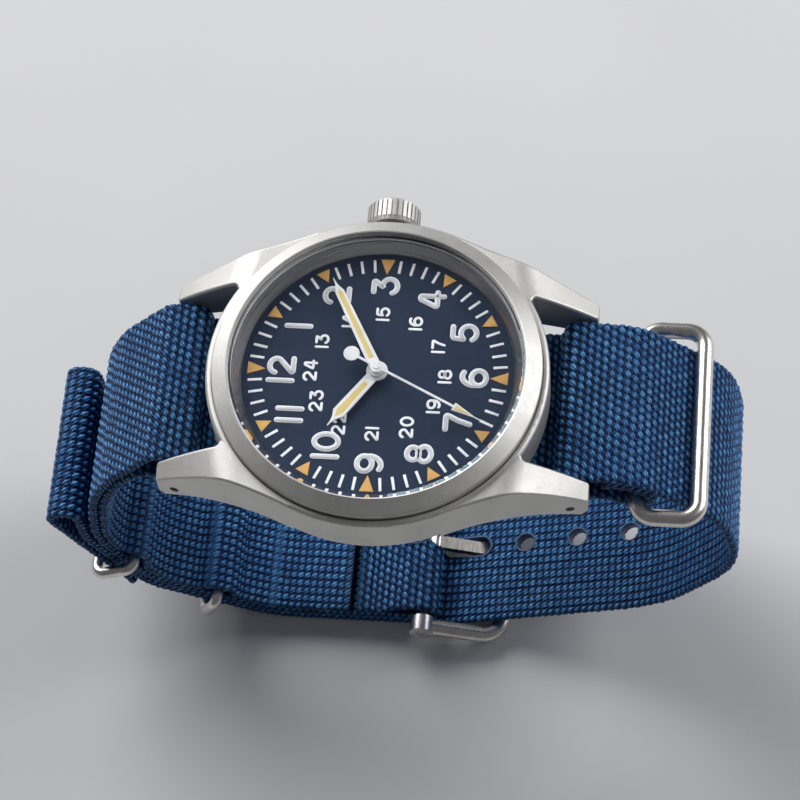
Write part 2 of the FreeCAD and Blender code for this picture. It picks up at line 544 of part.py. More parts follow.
def movement():
    save("movement_holder", ring(PLATE_R + 0.05, HOLDER_BORE_R - 0.05, -4.1, -0.92)
         .cut(box(8, 20, -1.2, 1.2, -3.2, 0)))
    plate = disc(PLATE_R, PLATE_BOTTOM, PLATE_TOP)
    recess = disc(5.3, WORK_FLOOR, 0).fuse(disc(1.6, WORK_FLOOR, 0, SETTING_AT))
    plate = plate.cut(recess)
    posts = [disc(0.25, -2.0, -1.04, MINUTE_AT), disc(0.3, -2.0, -1.1, SETTING_AT)]
    slot_x = PINION_X0 - SHIFT - 0.15
    channel = box(slot_x, 14, -1.0, 1.0, -3, 0)
    lever_way = box(9.6, 13, 0, 5.7, -1.5, 0)
    yoke_way = box(PINION_X0 - 2.2, PINION_X0 + 1.6, 0, 4.6, STEM_Z - 0.25, 0)
    bores = [disc(0.75, -3, 0), disc(0.15 + RUN, -3, 0, THIRD_AT),
             disc(0.12 + RUN, -3, 0, FIFTH_AT), disc(0.1 + RUN, -3, 0, ROTOR_AT)]
    for cut in [channel, lever_way, yoke_way] + bores:
        plate = plate.cut(cut)
    plate = fuse(plate, *posts)
    plate = fuse(plate, disc(0.3, -2.0, -1.0, LEVER_AT))
    pillars = [disc(0.9, BRIDGE_TOP, -2.5, p) for p in SCREWS_AT]
    plate = fuse(plate, *pillars)
    for p in SCREWS_AT:
        plate = plate.cut(disc(0.3, -5, -2.9, p))
    battery_seat = disc(BATTERY_R + 0.15, -4, -2.3, BATTERY_AT)
    save("main_plate", plate.cut(battery_seat))

    bridge = disc(PLATE_R - 0.3, BRIDGE_BOTTOM, BRIDGE_TOP)
    bridge = bridge.cut(disc(BATTERY_R + 0.3, -5, -3, BATTERY_AT))
    bridge = bridge.cut(box(-4.9, 7.1, 8.3, 11.0, -5, -3))
    bridge = bridge.cut(box(-6.4, 5.5, -10.6, -6.9, -5, -3))
    holes = [disc(0.12 + RUN, -5, -3), disc(0.15 + RUN, -5, -3, THIRD_AT),
             disc(0.12 + RUN, -5, -3, FIFTH_AT), disc(0.1 + RUN, -5, -3, ROTOR_AT)]
    for hole in holes + [disc(0.32, -5, -3, p) for p in SCREWS_AT]:
        bridge = bridge.cut(hole)
    save("train_bridge", bridge)
    screws = []
    for p in SCREWS_AT:
        head = disc(0.6, -4.28, BRIDGE_BOTTOM, p)
        slot = box(p[0] - 0.7, p[0] + 0.7, p[1] - 0.07, p[1] + 0.07, -4.4, -4.2)
        screws.append(fuse(disc(0.28, BRIDGE_BOTTOM, -2.95, p), head).cut(slot))
    save("movement_screws", screws)

    board = disc(PLATE_R - 0.6, -3.0, -2.8).cut(box(-14, 14, -6.6, 14, -4, -2))
    for p in SCREWS_AT:
        board = board.cut(disc(0.95, -4, -2, p))
    save("circuit_board", board)
    chip = box(1.2, 3.0, -9.4, -7.6, -3.35, -3.0)
    save("quartz_can", rod_x(0.6, -6.2, -0.8, -9.6, -3.6))
    save("control_chip", chip)

    # Stator plates run from the rotor hole out to the two ends of the coil core.
    rx, ry = ROTOR_AT
    stator = box(-4.8, 7.0, ry - 1.6, ry + 1.6, -3.25, -2.85)
    stator = fuse(stator, box(-4.8, -3.2, ry, COIL_Y + 0.8, -3.25, -2.85),
                  box(5.4, 7.0, ry, COIL_Y + 0.8, -3.25, -2.85))
    stator = stator.cut(disc(1.05, -4, -2, ROTOR_AT)).cut(disc(0.9, -4, -2, (6.3, 7.0)))
    stator = stator.cut(disc(BATTERY_R + 0.25, -4, -2, BATTERY_AT))
    stator = stator.cut(disc(0.4, -4, -2, FIFTH_AT)).cut(disc(3.25, -4, -3.05))
    save("stator", stator)
    save("coil_core", box(-4.8, 7.0, COIL_Y - 0.35, COIL_Y + 0.35, -3.6, -3.26))
    coil = Part.makeCylinder(0.95, 7.6, Vector(-2.7, COIL_Y, -3.43), X)
    save("coil", coil.cut(box(-5, 8, COIL_Y - 0.36, COIL_Y + 0.36, -3.61, -3.25))
         .common(box(-5, 8, 0, 14, -3.85, -2.62)))

    cell = disc(BATTERY_R, -4.15, -2.75, BATTERY_AT)
    save("battery", fuse(cell, disc(BATTERY_R - 0.5, -2.75, -2.35, BATTERY_AT)))
    bx, by = BATTERY_AT
    clamp = box(bx - 0.8, bx + 4.6, by - 0.8, by + 0.8, -4.3, -4.18)
    save("battery_clamp", clamp.cut(disc(0.35, -5, -4, (bx, by))))


# ---------------------------------------------------------------- spring bars

def spring_bars():
    tubes = []
    springs = []
    flange_x = LUG_GAP / 2 - 0.4
    tube_half = flange_x - PIN_TRAVEL - 0.05
    for sy, name in ((1, "12"), (-1, "6")):
        y = sy * BAR_Y
        tubes.append(tube_x(PIN_R + 0.02, BAR_R, -tube_half, tube_half, y, BAR_Z))
        for sx, side in ((-1, "left"), (1, "right")):
            pin = rod_x(PIN_R, 6.0, 11.75, y, BAR_Z)
            pin = fuse(pin, rod_x(BAR_R - 0.05, flange_x, flange_x + 0.25, y, BAR_Z))
            if sx < 0:
                pin = pin.mirror(Vector(0, 0, 0), X)
            save("spring_pin_" + name + "_" + side, pin)
        length = 11.8
        helix = Part.makeHelix(length / 10, length, 0.26)
        section = Part.Wire(Part.makeCircle(0.09, Vector(0.26, 0, 0), Y))
        coil = Part.Wire(helix.Edges).makePipeShell([section], True, True)
        coil.rotate(Vector(0, 0, 0), Y, 90)
        coil.translate(Vector(-length / 2, y, BAR_Z))
        springs.append(coil)
    save("spring_bar_tubes", tubes)
    save("spring_bar_springs", springs)


# ---------------------------------------------------------------- strap and its hardware

def unit(a, b):
    length = math.hypot(b[0] - a[0], b[1] - a[1])
    return ((b[0] - a[0]) / length, (b[1] - a[1]) / length)


def beside(corners, shift):
    """The corners of a route that runs beside another, shift to its left, without its two ends."""
    out = []
    for before, here, after in zip(corners, corners[1:], corners[2:]):
        a, b = unit(before, here), unit(here, after)
        turn = math.atan2(a[0] * b[1] - a[1] * b[0], a[0] * b[0] + a[1] * b[1])
        out_len = shift / math.cos(turn / 2)
        nx, nz = -(a[1] + b[1]), a[0] + b[0]
        size = math.hypot(nx, nz)
        radius = here[2] - math.copysign(shift, turn)
        out.append((here[0] + nx / size * out_len, here[1] + nz / size * out_len, radius))
    return out


def at_run(a, b, along, left):
    """The point that is along a run from a to b, and left of it."""
    u = unit(a, b)
    return (a[0] + u[0] * along - u[1] * left, a[1] + u[1] * along + u[0] * left)


WRAP = BAR_R + WEB_GAP + WEB_THICK / 2       # centre line radius around a spring bar
UNDER_CASE_Z = BACK_BOTTOM - 0.15 - WEB_THICK / 2
UNDER_STRAP_Z = UNDER_CASE_Z - WEB_STEP
BUCKLE_WRAP = BUCKLE_BAR_R + WEB_GAP + WEB_THICK / 2
KEEPER_R = 0.7
KEEPER_SIT = WEB_THICK / 2 + WEB_GAP + KEEPER_R      # main centre line to a keeper's held side

# The main strap's centre line on the 12 o'clock side, from the buckle up to the spring bar.
SIDE_12 = [(4.0, MAIN_Z, 0), (15.0, MAIN_Z, 14.0), (28.6, -38.0, 9.0), (34.0, -26.5, 10.0),
           (32.9, -16.2, 18.0), (30.2, -10.8, 10.0), (BAR_Y + 2.7, -4.15, 2.2)]
# Its centre line on the 6 o'clock side, from the spring bar down to the buckle's front bar.
SIDE_6 = [(-BAR_Y + WRAP, -4.15, 1.3), (-28.4, -4.6, 7.0), (-38.4, -13.4, 11.0),
          (-40.7, -24.6, 12.0), (-32.0, -37.2, 16.0), (FRONT_BAR_Y - 0.5, OVER_FRONT_Z + 0.5, 12.0)]

LOWER_RUN = (SIDE_12[1], SIDE_12[2])
UPPER_RUN = (SIDE_12[2], SIDE_12[3])
LOWER_ALONG = 7.6
UPPER_ALONG = 6.3
RING_R = 0.95
RING_RUN = (SIDE_6[1], SIDE_6[2])
RING_ALONG = 2.95
RING_LEAN = 48.7         # how far the ring leans down the strap, in degrees
RING_SIT = WEB_THICK / 2 + WEB_STEP + WEB_GAP + RING_R

tail_side = beside(SIDE_12, -WEB_STEP)
back_side = beside(SIDE_12, -2 * WEB_STEP - 0.05)
MAIN_ROUTE = (
    [(4.6, MAIN_Z + WEB_STEP, 0), (2.6, MAIN_Z + WEB_STEP, 2.0),
     (-1.8, BUCKLE_BAR_Z + BUCKLE_WRAP, 2.0),
     (BUCKLE_BAR_Y - BUCKLE_WRAP, BUCKLE_BAR_Z + BUCKLE_WRAP, BUCKLE_WRAP - 0.001),
     (BUCKLE_BAR_Y - BUCKLE_WRAP, MAIN_Z, BUCKLE_WRAP - 0.001)]
    + SIDE_12[1:]
    + [(BAR_Y - WRAP, -4.15, 1.3), (BAR_Y - WRAP, UNDER_CASE_Z, 1.3),
       (-BAR_Y + WRAP, UNDER_CASE_Z, 1.3)]
    + SIDE_6
    + [(BUCKLE_BAR_Y - 2.5, TAIL_Z, 8.0)]
    + tail_side[:2]
    + [(tail_side[2][0], tail_side[2][1], 9.0), (35.4, -20.6, 1.5), (39.4, -20.6, 1.5)]
    + [(back_side[2][0], back_side[2][1], 6.0)]
    + [(*at_run(*UPPER_RUN, 0.6, -2 * WEB_STEP - 0.05), 0)]
)


def bulge(run, along):
    """Corners of the under-strap where it passes over a keeper's held side."""
    low, high = WEB_STEP, KEEPER_SIT * 2
    stations = ((-2.7, low), (-1.0, high), (1.0, high), (2.7, low))
    return [(*at_run(*run, along + step, left), 1.2) for step, left in stations]


under_side = beside(SIDE_12, WEB_STEP)
ring_under = RING_SIT + RING_R + WEB_GAP + WEB_THICK / 2
ring_wrap = RING_R + WEB_GAP + WEB_THICK / 2
u6 = unit(*RING_RUN)
below_ring = at_run(*RING_RUN, RING_ALONG, ring_under)
drop = (below_ring[1] - UNDER_STRAP_Z) / u6[1]
u12 = unit(SIDE_12[5], SIDE_12[6])
rise = (UNDER_STRAP_Z - under_side[4][1]) / u12[1]
UNDER_ROUTE = (
    [(5.4, MAIN_Z + WEB_STEP, 0), under_side[0]]
    + bulge(LOWER_RUN, LOWER_ALONG) + [under_side[1]] + bulge(UPPER_RUN, UPPER_ALONG)
    + under_side[2:5]
    + [(under_side[4][0] + u12[0] * rise, UNDER_STRAP_Z, 4.0),
       (below_ring[0] - u6[0] * drop, UNDER_STRAP_Z, 4.0),
       (*at_run(*RING_RUN, RING_ALONG + ring_wrap, ring_under), ring_wrap - 0.001),
       (*at_run(*RING_RUN, RING_ALONG + ring_wrap, WEB_STEP), ring_wrap - 0.001),
       beside(SIDE_6[:3], WEB_STEP)[0],
       (*at_run(SIDE_6[1], SIDE_6[0], 3.4, -WEB_STEP), 0)]
)

# Each loop: the run it sits on, how far along, its held side's offset, wire radius, how many
# layers of webbing it closes over beside the main strap, and how far it leans down the strap.
LOOPS = {
    "retaining_ring": (RING_RUN, RING_ALONG, RING_SIT, RING_R, 0, RING_LEAN),
    "keeper_lower": (LOWER_RUN, LOWER_ALONG, KEEPER_SIT, KEEPER_R, 1, 0),
    "keeper_upper": (UPPER_RUN, UPPER_ALONG, KEEPER_SIT, KEEPER_R, 2, 0),
}
LOOP_GAP = 0.15          # between a loop's free side and the webbing

# Each loop's play beside the webbing at each edge, and the radius inside its corners.
LOOP_FIT = {"retaining_ring": (0.8, 1.1), "keeper_lower": (0.3, 0.5), "keeper_upper": (0.3, 0.5)}


def loop_place(name):
    """Held side's centre (y, z), the direction to the far side in degrees, and the depth."""
    run, along, sit, wire_r, layers, lean = LOOPS[name]
    y, z = at_run(*run, along, sit)
    u = unit(*run)
    angle = math.degrees(math.atan2(-u[0], u[1]))
    depth = sit + WEB_THICK / 2 + layers * WEB_STEP + LOOP_GAP + wire_r
    return y, z, angle + lean, depth / math.cos(math.radians(lean))


TONGUE_THICK = 1.0
TONGUE_WIDTH = 1.5
TONGUE_ANGLE = 194.9
TONGUE_LENGTH = 10.9
TONGUE_SWING = 10.0


def tongue_arm(grow):
    half = TONGUE_THICK / 2 + grow
    arm = box(-TONGUE_WIDTH / 2 - grow, TONGUE_WIDTH / 2 + grow, 0.9, TONGUE_LENGTH + grow,
              -half, half)
    arm.rotate(Vector(0, 0, 0), X, TONGUE_ANGLE)
    arm.translate(Vector(0, BUCKLE_BAR_Y, BUCKLE_BAR_Z))
    return arm


def adjusting_holes():
    """Round holes along the long end, either side of the one that the tongue is in."""
    cutters = []
    slope = Vector(0, BUCKLE_BAR_Y - 2.5 - SIDE_6[5][0], TAIL_Z - SIDE_6[5][1]).normalize()
    used = Vector(0, -9.3, TAIL_Z + (BUCKLE_BAR_Y - 2.5 + 9.3) * -slope.z / slope.y)
    run6 = unit(SIDE_6[4], SIDE_6[5])
    for i in (1, 2, 3):
        y = used.y - i * HOLE_PITCH * run6[0]
        z = SIDE_6[5][1] + (y - SIDE_6[5][0]) * run6[1] / run6[0]
        normal = Vector(0, -run6[1], run6[0])
        cutters.append(Part.makeCylinder(HOLE_R, 3, Vector(0, y, z) - normal * 1.5, normal))
    for i in (1, 2, 3):
        y = used.y + i * HOLE_PITCH - 0.15
        cutters.append(Part.makeCylinder(HOLE_R, WEB_THICK + 0.02,
                                         Vector(0, y, REST_Z - 0.01)))
    return cutters


def strap():
    main = webbing(MAIN_ROUTE)
    for cutter in adjusting_holes():
        main = main.cut(cutter)
    for step in range(5):
        arm = tongue_arm(0.1)
        arm.rotate(Vector(0, BUCKLE_BAR_Y, BUCKLE_BAR_Z), X, TONGUE_SWING * step / 4)
        main = main.cut(arm)
    main = main.cut(box(-1.15, 1.15, BUCKLE_BAR_Y - 2.3, BUCKLE_BAR_Y + 1.6,
                        MAIN_Z - WEB_THICK / 2 - 0.02, BUCKLE_BAR_Z + 3))
    save("main_strap", main)
    save("under_strap", webbing(UNDER_ROUTE))


def strap_hardware():
    for name in LOOPS:
        y, z, angle, depth = loop_place(name)
        wire_r = LOOPS[name][3]
        play, inside = LOOP_FIT[name]
        save(name, wire_loop(WEB_WIDTH / 2 + play, depth, wire_r + inside, wire_r, y, z, angle))

    # The buckle: a U of round wire, closed by a bar through an eye at each end.
    depth = math.hypot(FRONT_BAR_Y - BUCKLE_BAR_Y, FRONT_BAR_Z - BUCKLE_BAR_Z)
    angle = math.degrees(math.atan2(FRONT_BAR_Z - BUCKLE_BAR_Z, FRONT_BAR_Y - BUCKLE_BAR_Y))
    half_x = WEB_WIDTH / 2 + 0.3 + FRONT_BAR_R
    bend = 2.6
    legs = []
    for sx in (-1, 1):
        leg = Part.LineSegment(Vector(sx * half_x, 0, 0), Vector(sx * half_x, depth - bend, 0))
        centre = Vector(sx * (half_x - bend), depth - bend, 0)
        mid = centre + Vector(sx, 1, 0).normalize() * bend
        arc = Part.Arc(Vector(sx * half_x, depth - bend, 0), mid,
                       Vector(sx * (half_x - bend), depth, 0))
        legs.append((leg.toShape(), arc.toShape()))
    front = Part.LineSegment(Vector(-half_x + bend, depth, 0), Vector(half_x - bend, depth, 0))
    spine = Part.Wire(Part.__sortEdges__([*legs[0], front.toShape(), *legs[1]]))
    section = Part.Wire(Part.makeCircle(FRONT_BAR_R, Vector(-half_x, 0, 0), Y))
    frame = spine.makePipeShell([section], True, True)
    frame.rotate(Vector(0, 0, 0), X, angle)
    frame.translate(Vector(0, BUCKLE_BAR_Y, BUCKLE_BAR_Z))
    for sx in (-1, 1):
        x = sx * half_x
        frame = frame.fuse(rod_x(1.45, x - 0.95, x + 0.95, BUCKLE_BAR_Y, BUCKLE_BAR_Z))
    frame = frame.removeSplitter()
    frame = frame.cut(rod_x(BUCKLE_BAR_R, -15, 15, BUCKLE_BAR_Y, BUCKLE_BAR_Z))
    frame = frame.cut(tongue_arm(0.08))
    notch = box(-TONGUE_WIDTH / 2 - 0.15, TONGUE_WIDTH / 2 + 0.15, FRONT_BAR_Y - 2,
                FRONT_BAR_Y + 2, REST_Z - 1, FRONT_BAR_Z + 0.3)
    save("buckle_frame", frame.cut(notch))
    save("buckle_bar", rod_x(BUCKLE_BAR_R, -half_x - 0.8, half_x + 0.8,
                             BUCKLE_BAR_Y, BUCKLE_BAR_Z))
    eye = tube_x(BUCKLE_BAR_R + 0.05, BUCKLE_BAR_R + 0.6, -0.9, 0.9, BUCKLE_BAR_Y, BUCKLE_BAR_Z)
    tongue = fuse(eye, tongue_arm(0.0))
    save("buckle_tongue", tongue.cut(rod_x(BUCKLE_BAR_R + 0.05, -2, 2,
                                           BUCKLE_BAR_Y, BUCKLE_BAR_Z)))


if __name__ == "__main__":
    watch_head()
    save("dial", ring(0.95, DIAL_R, DIAL_TOP - DIAL_THICK, DIAL_TOP))
    hands()
    wheel_set()
    keyless_works()
    movement()
    spring_bars()
    strap()
    strap_hardware()
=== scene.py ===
import json
import math

import bmesh
import bpy
import numpy as np
from mathutils import Matrix, Vector


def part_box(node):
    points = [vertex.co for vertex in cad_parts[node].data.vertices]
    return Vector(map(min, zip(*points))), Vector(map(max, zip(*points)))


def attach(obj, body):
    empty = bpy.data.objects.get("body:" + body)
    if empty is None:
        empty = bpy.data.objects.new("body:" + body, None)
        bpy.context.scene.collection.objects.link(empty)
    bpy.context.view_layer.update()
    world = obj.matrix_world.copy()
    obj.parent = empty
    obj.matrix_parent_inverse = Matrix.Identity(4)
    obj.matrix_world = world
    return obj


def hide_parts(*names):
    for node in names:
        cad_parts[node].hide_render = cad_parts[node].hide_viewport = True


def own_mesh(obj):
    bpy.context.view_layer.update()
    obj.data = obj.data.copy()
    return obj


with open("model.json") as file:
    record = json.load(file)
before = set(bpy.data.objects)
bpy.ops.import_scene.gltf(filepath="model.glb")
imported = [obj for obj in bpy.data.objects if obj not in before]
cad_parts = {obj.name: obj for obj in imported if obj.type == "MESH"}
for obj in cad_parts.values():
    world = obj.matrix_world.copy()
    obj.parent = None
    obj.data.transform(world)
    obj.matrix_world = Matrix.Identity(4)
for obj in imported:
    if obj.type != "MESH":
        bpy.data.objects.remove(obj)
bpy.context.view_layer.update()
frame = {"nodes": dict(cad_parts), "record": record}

# Wristwatch on a pass-through webbing strap.
# The frame is in metres. Sizes below are in millimetres, and MM turns them into metres.
# +Z points out of the dial, +X to 3 o'clock (the crown) and +Y to 12 o'clock.
MM = 0.001
SAME_POINT = 1e-6        # vertices closer than this are one, in metres
random = np.random.default_rng(11)


# ---------------------------------------------------------------- materials

def rgba(colour):
    return (*colour, 1.0)


class Surface:
    """One material: a Principled shader, with positions in millimetres to build patterns on."""

    def __init__(self, name):
        self.material = bpy.data.materials.new(name)
        self.material.use_nodes = True
        self.tree = self.material.node_tree
        self.shader = self.tree.nodes["Principled BSDF"]
        place = self.node("ShaderNodeTexCoord").outputs["Object"]
        scaled = self.node("ShaderNodeVectorMath", {0: place, "Scale": 1 / MM}, operation="SCALE")
        self.position = scaled.outputs[0]

    def node(self, kind, inputs=(), **settings):
        made = self.tree.nodes.new(kind)
        for key, value in settings.items():
            setattr(made, key, value)
        for key, value in dict(inputs).items():
            self.put(made.inputs[key], value)
        return made

    def put(self, socket, value):
        if isinstance(value, bpy.types.NodeSocket):
            self.tree.links.new(value, socket)
        else:
            socket.default_value = value

    def set(self, **values):
        """Sets Principled inputs, with spaces written as underscores."""
        for name, value in values.items():
            self.put(self.shader.inputs[name.replace("_", " ")], value)

    def math(self, operation, *values):
        return self.node("ShaderNodeMath", enumerate(values), operation=operation).outputs[0]

    def axes(self, vector):
        return self.node("ShaderNodeSeparateXYZ", {0: vector}).outputs

    def vector(self, x, y, z):
        return self.node("ShaderNodeCombineXYZ", {0: x, 1: y, 2: z}).outputs[0]

    def noise(self, per_mm, detail=2.0, vector=None):
        inputs = {"Vector": vector or self.position, "Scale": per_mm, "Detail": detail}
        return self.node("ShaderNodeTexNoise", inputs).outputs["Fac"]

    def spread(self, value, low, high, start=0.3, end=0.7):
        """Turns value, from start to end, into low to high."""
        inputs = {"Value": value, "From Min": start, "From Max": end, "To Min": low, "To Max": high}
        return self.node("ShaderNodeMapRange", inputs).outputs["Result"]

    def mix(self, share, first, second):
        colours = [c if isinstance(c, bpy.types.NodeSocket) else rgba(c) for c in (first, second)]
        inputs = {0: share, 6: colours[0], 7: colours[1]}
        return self.node("ShaderNodeMix", inputs, data_type="RGBA").outputs[2]

    def bump(self, height, depth, under=None):
        """Relief depth millimetres deep, on top of another."""
        inputs = {"Height": height, "Distance": depth * MM}
        if under:
            inputs["Normal"] = under
        return self.node("ShaderNodeBump", inputs).outputs["Normal"]


def grained(name, dark, light, rough, metal=0.0, grain=12.0, depth=0.004, shine=0.5):
    """A finish with fine grain, and colour and roughness that drift across it."""
    s = Surface(name)
    fine = s.noise(grain, 3.0)
    drift = s.noise(0.35, 3.0)
    shade = s.math("MULTIPLY_ADD", fine, 0.5, s.math("MULTIPLY", drift, 0.5))
    s.set(Base_Color=s.mix(s.spread(shade, 0.0, 1.0, 0.35, 0.65), dark, light), Metallic=metal)
    s.set(Roughness=s.spread(drift, *rough), Normal=s.bump(fine, depth), Specular_IOR_Level=shine)
    return s.material


def blasted_steel(name):
    """Bead-blasted steel: tiny overlapping dimples and faint handling marks."""
    s = Surface(name)
    dimples = s.node("ShaderNodeTexVoronoi", {"Vector": s.position, "Scale": 9.0},
                     feature="SMOOTH_F1").outputs["Distance"]
    fine = s.noise(9.0, 2.0)
    drift = s.noise(0.22, 4.0)
    marks = s.noise(1.2, 6.0)
    shade = s.math("ADD", s.math("MULTIPLY", fine, 0.6), s.math("MULTIPLY", drift, 0.4))
    s.set(Base_Color=s.mix(s.spread(shade, 0.0, 1.0, 0.35, 0.65), BLASTED_DARK, BLASTED_LIGHT))
    s.set(Metallic=1.0, Roughness=s.spread(marks, 0.50, 0.56))
    s.set(Normal=s.bump(fine, 0.009, s.bump(dimples, 0.006)))
    return s.material


def polished_steel(name):
    """Polished round wire with hairline scratches along and across it."""
    s = Surface(name)
    x, y, z = s.axes(s.position)[:3]
    lines = s.noise(1.0, 3.0, s.vector(s.math("MULTIPLY", x, 0.6), s.math("MULTIPLY", y, 16.0),
                                       s.math("MULTIPLY", z, 16.0)))
    wear = s.noise(0.8, 5.0)
    s.set(Base_Color=s.mix(s.spread(wear, 0.0, 1.0), (0.66, 0.62, 0.58), (0.82, 0.79, 0.76)))
    s.set(Metallic=1.0, Roughness=s.spread(lines, 0.22, 0.34))
    s.set(Normal=s.bump(lines, 0.0025))
    return s.material


def turned_ring(name, dark, light, rough):
    """Lathe-turned metal: fine lines round the hands' axis."""
    s = Surface(name)
    x, y, z = s.axes(s.position)[:3]
    radius = s.math("SQRT", s.math("MULTIPLY_ADD", x, x, s.math("MULTIPLY", y, y)))
    angle = s.math("ARCTAN2", y, x)
    path = s.vector(s.math("MULTIPLY", radius, 9.0), s.math("MULTIPLY", angle, 1.5),
                    s.math("MULTIPLY", z, 9.0))
    lines = s.noise(1.0, 4.0, path)
    s.set(Base_Color=s.mix(s.spread(lines, 0.0, 1.0), dark, light), Metallic=1.0)
    s.set(Roughness=s.spread(lines, *rough), Normal=s.bump(lines, 0.004))
    return s.material


def crystal_glass(name):
    """Clear mineral glass with a thin anti-reflection film. Lamps light what is under it."""
    s = Surface(name)
    s.set(Base_Color=rgba((0.97, 0.985, 1.0)), Roughness=0.0, IOR=1.5, Transmission_Weight=1.0)
    s.set(Thin_Film_Thickness=310.0, Thin_Film_IOR=1.38)
    lamp = s.node("ShaderNodeLightPath").outputs["Is Shadow Ray"]
    clear = s.node("ShaderNodeBsdfTransparent").outputs[0]
    both = s.node("ShaderNodeMixShader", {0: lamp, 1: s.shader.outputs[0], 2: clear}).outputs[0]
    s.put(s.tree.nodes["Material Output"].inputs["Surface"], both)
    return s.material


def coil_wire(name):
    """Enamelled wire wound round X."""
    s = Surface(name)
    x = s.axes(s.position)[0]
    turns = s.math("SINE", s.math("MULTIPLY", x, math.tau / WINDING_PITCH))
    drift = s.noise(3.0, 3.0)
    s.set(Base_Color=s.mix(s.spread(drift, 0.0, 1.0), (0.42, 0.13, 0.05), (0.72, 0.30, 0.13)))
    s.set(Metallic=0.8, Roughness=s.spread(drift, 0.28, 0.42))
    s.set(Normal=s.bump(turns, 0.02))
    return s.material


def printed_film(name):
    """Amber circuit film with copper tracks under it."""
    s = Surface(name)
    cells = s.node("ShaderNodeTexVoronoi", {"Vector": s.position, "Scale": 1.1},
                   feature="DISTANCE_TO_EDGE").outputs["Distance"]
    track = s.spread(cells, 1.0, 0.0, 0.06, 0.1)
    s.set(Base_Color=s.mix(track, (0.24, 0.12, 0.03), (0.62, 0.34, 0.12)))
    s.set(Roughness=s.spread(s.noise(4.0), 0.3, 0.45), Normal=s.bump(track, 0.01))
    return s.material


WINDING_PITCH = 0.12     # from one turn of the coil's wire to the next
BLASTED_DARK = (0.56, 0.55, 0.53)
BLASTED_LIGHT = (0.70, 0.69, 0.665)
NAVY_DARK = (0.007, 0.016, 0.036)
NAVY_LIGHT = (0.011, 0.024, 0.052)
ORANGE_DARK = (0.46, 0.235, 0.055)
ORANGE_LIGHT = (0.62, 0.35, 0.10)
MUSTARD_DARK = (0.47, 0.34, 0.10)
MUSTARD_LIGHT = (0.64, 0.49, 0.19)

SLOTS = {
    "blasted_steel": blasted_steel("blasted_steel"),
    "polished_steel": polished_steel("polished_steel"),
    "steel_parts": grained("steel_parts", (0.42, 0.42, 0.43), (0.6, 0.6, 0.6), (0.22, 0.34),
                           metal=1.0),
    "mineral_crystal": crystal_glass("mineral_crystal"),
    "clear_nylon": grained("clear_nylon", (0.55, 0.55, 0.57), (0.7, 0.7, 0.72), (0.3, 0.4)),
    "satin_ring": turned_ring("satin_ring", (0.24, 0.24, 0.245), (0.36, 0.36, 0.365),
                              (0.26, 0.36)),
    "black_rubber": grained("black_rubber", (0.012, 0.012, 0.012), (0.03, 0.03, 0.03),
                            (0.5, 0.7)),
    "navy_dial": grained("navy_dial", NAVY_DARK, NAVY_LIGHT, (0.55, 0.65),
                         grain=16.0, depth=0.003, shine=0.12),
    "brass_parts": grained("brass_parts", (0.52, 0.36, 0.13), (0.78, 0.60, 0.28), (0.2, 0.32),
                           metal=1.0),
    "white_hands": grained("white_hands", (0.50, 0.50, 0.51), (0.68, 0.68, 0.69), (0.34, 0.46),
                           grain=9.0, depth=0.008),
    "cream_lume": grained("cream_lume", MUSTARD_DARK, MUSTARD_LIGHT, (0.6, 0.75),
                          grain=11.0, depth=0.012),
    "yellow_lume": grained("yellow_lume", MUSTARD_DARK, MUSTARD_LIGHT, (0.6, 0.75),
                           grain=13.0, depth=0.01),
    "plated_bridge": turned_ring("plated_bridge", (0.5, 0.49, 0.46), (0.68, 0.66, 0.62),
                                 (0.24, 0.36)),
    "white_plastic": grained("white_plastic", (0.6, 0.6, 0.58), (0.76, 0.76, 0.73), (0.4, 0.55)),
    "circuit_film": printed_film("circuit_film"),
    "black_plastic": grained("black_plastic", (0.012, 0.012, 0.013), (0.03, 0.03, 0.03),
                             (0.35, 0.5)),
    "copper_winding": coil_wire("copper_winding"),
    "cell_steel": turned_ring("cell_steel", (0.56, 0.56, 0.56), (0.72, 0.72, 0.72),
                              (0.18, 0.3)),
    "magnet": grained("magnet", (0.08, 0.08, 0.085), (0.14, 0.14, 0.15), (0.35, 0.5), metal=0.6),
}
orange_lume = grained("orange_lume", ORANGE_DARK, ORANGE_LIGHT, (0.6, 0.75),
                      grain=10.0, depth=0.014)
numeral_white = grained("numeral_white", (0.62, 0.62, 0.64), (0.80, 0.80, 0.82), (0.4, 0.5))
numeral_grey = grained("numeral_grey", (0.40, 0.40, 0.42), (0.60, 0.60, 0.63), (0.6, 0.75),
                       depth=0.012)


# ---------------------------------------------------------------- mesh helpers

def piece(name, points, faces, material, body, normals=None):
    """A mesh piece from points in millimetres, which rides on a body."""
    mesh = bpy.data.meshes.new(name)
    mesh.from_pydata((np.asarray(points, float) * MM).tolist(), [], faces)
    mesh.materials.append(material)
    mesh.shade_smooth()
    if normals is not None:
        mesh.normals_split_custom_set_from_vertices(normals)
    made = bpy.data.objects.new(name, mesh)
    bpy.context.scene.collection.objects.link(made)
    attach(made, body)
    return made


class Bundle:
    """Several small closed shapes that go into one mesh."""

    def __init__(self):
        self.points = []
        self.faces = []

    def add(self, points, faces):
        start = len(self.points)
        self.points += [tuple(p) for p in points]
        self.faces += [tuple(start + i for i in face) for face in faces]


# ---------------------------------------------------------------- dial print

DIAL_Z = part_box("dial")[1].z / MM
INK = 0.05               # height of the printed white
LUME = 0.11              # height of the lume on the numerals and hour triangles
SUNK = 0.03              # how far print reaches into the dial

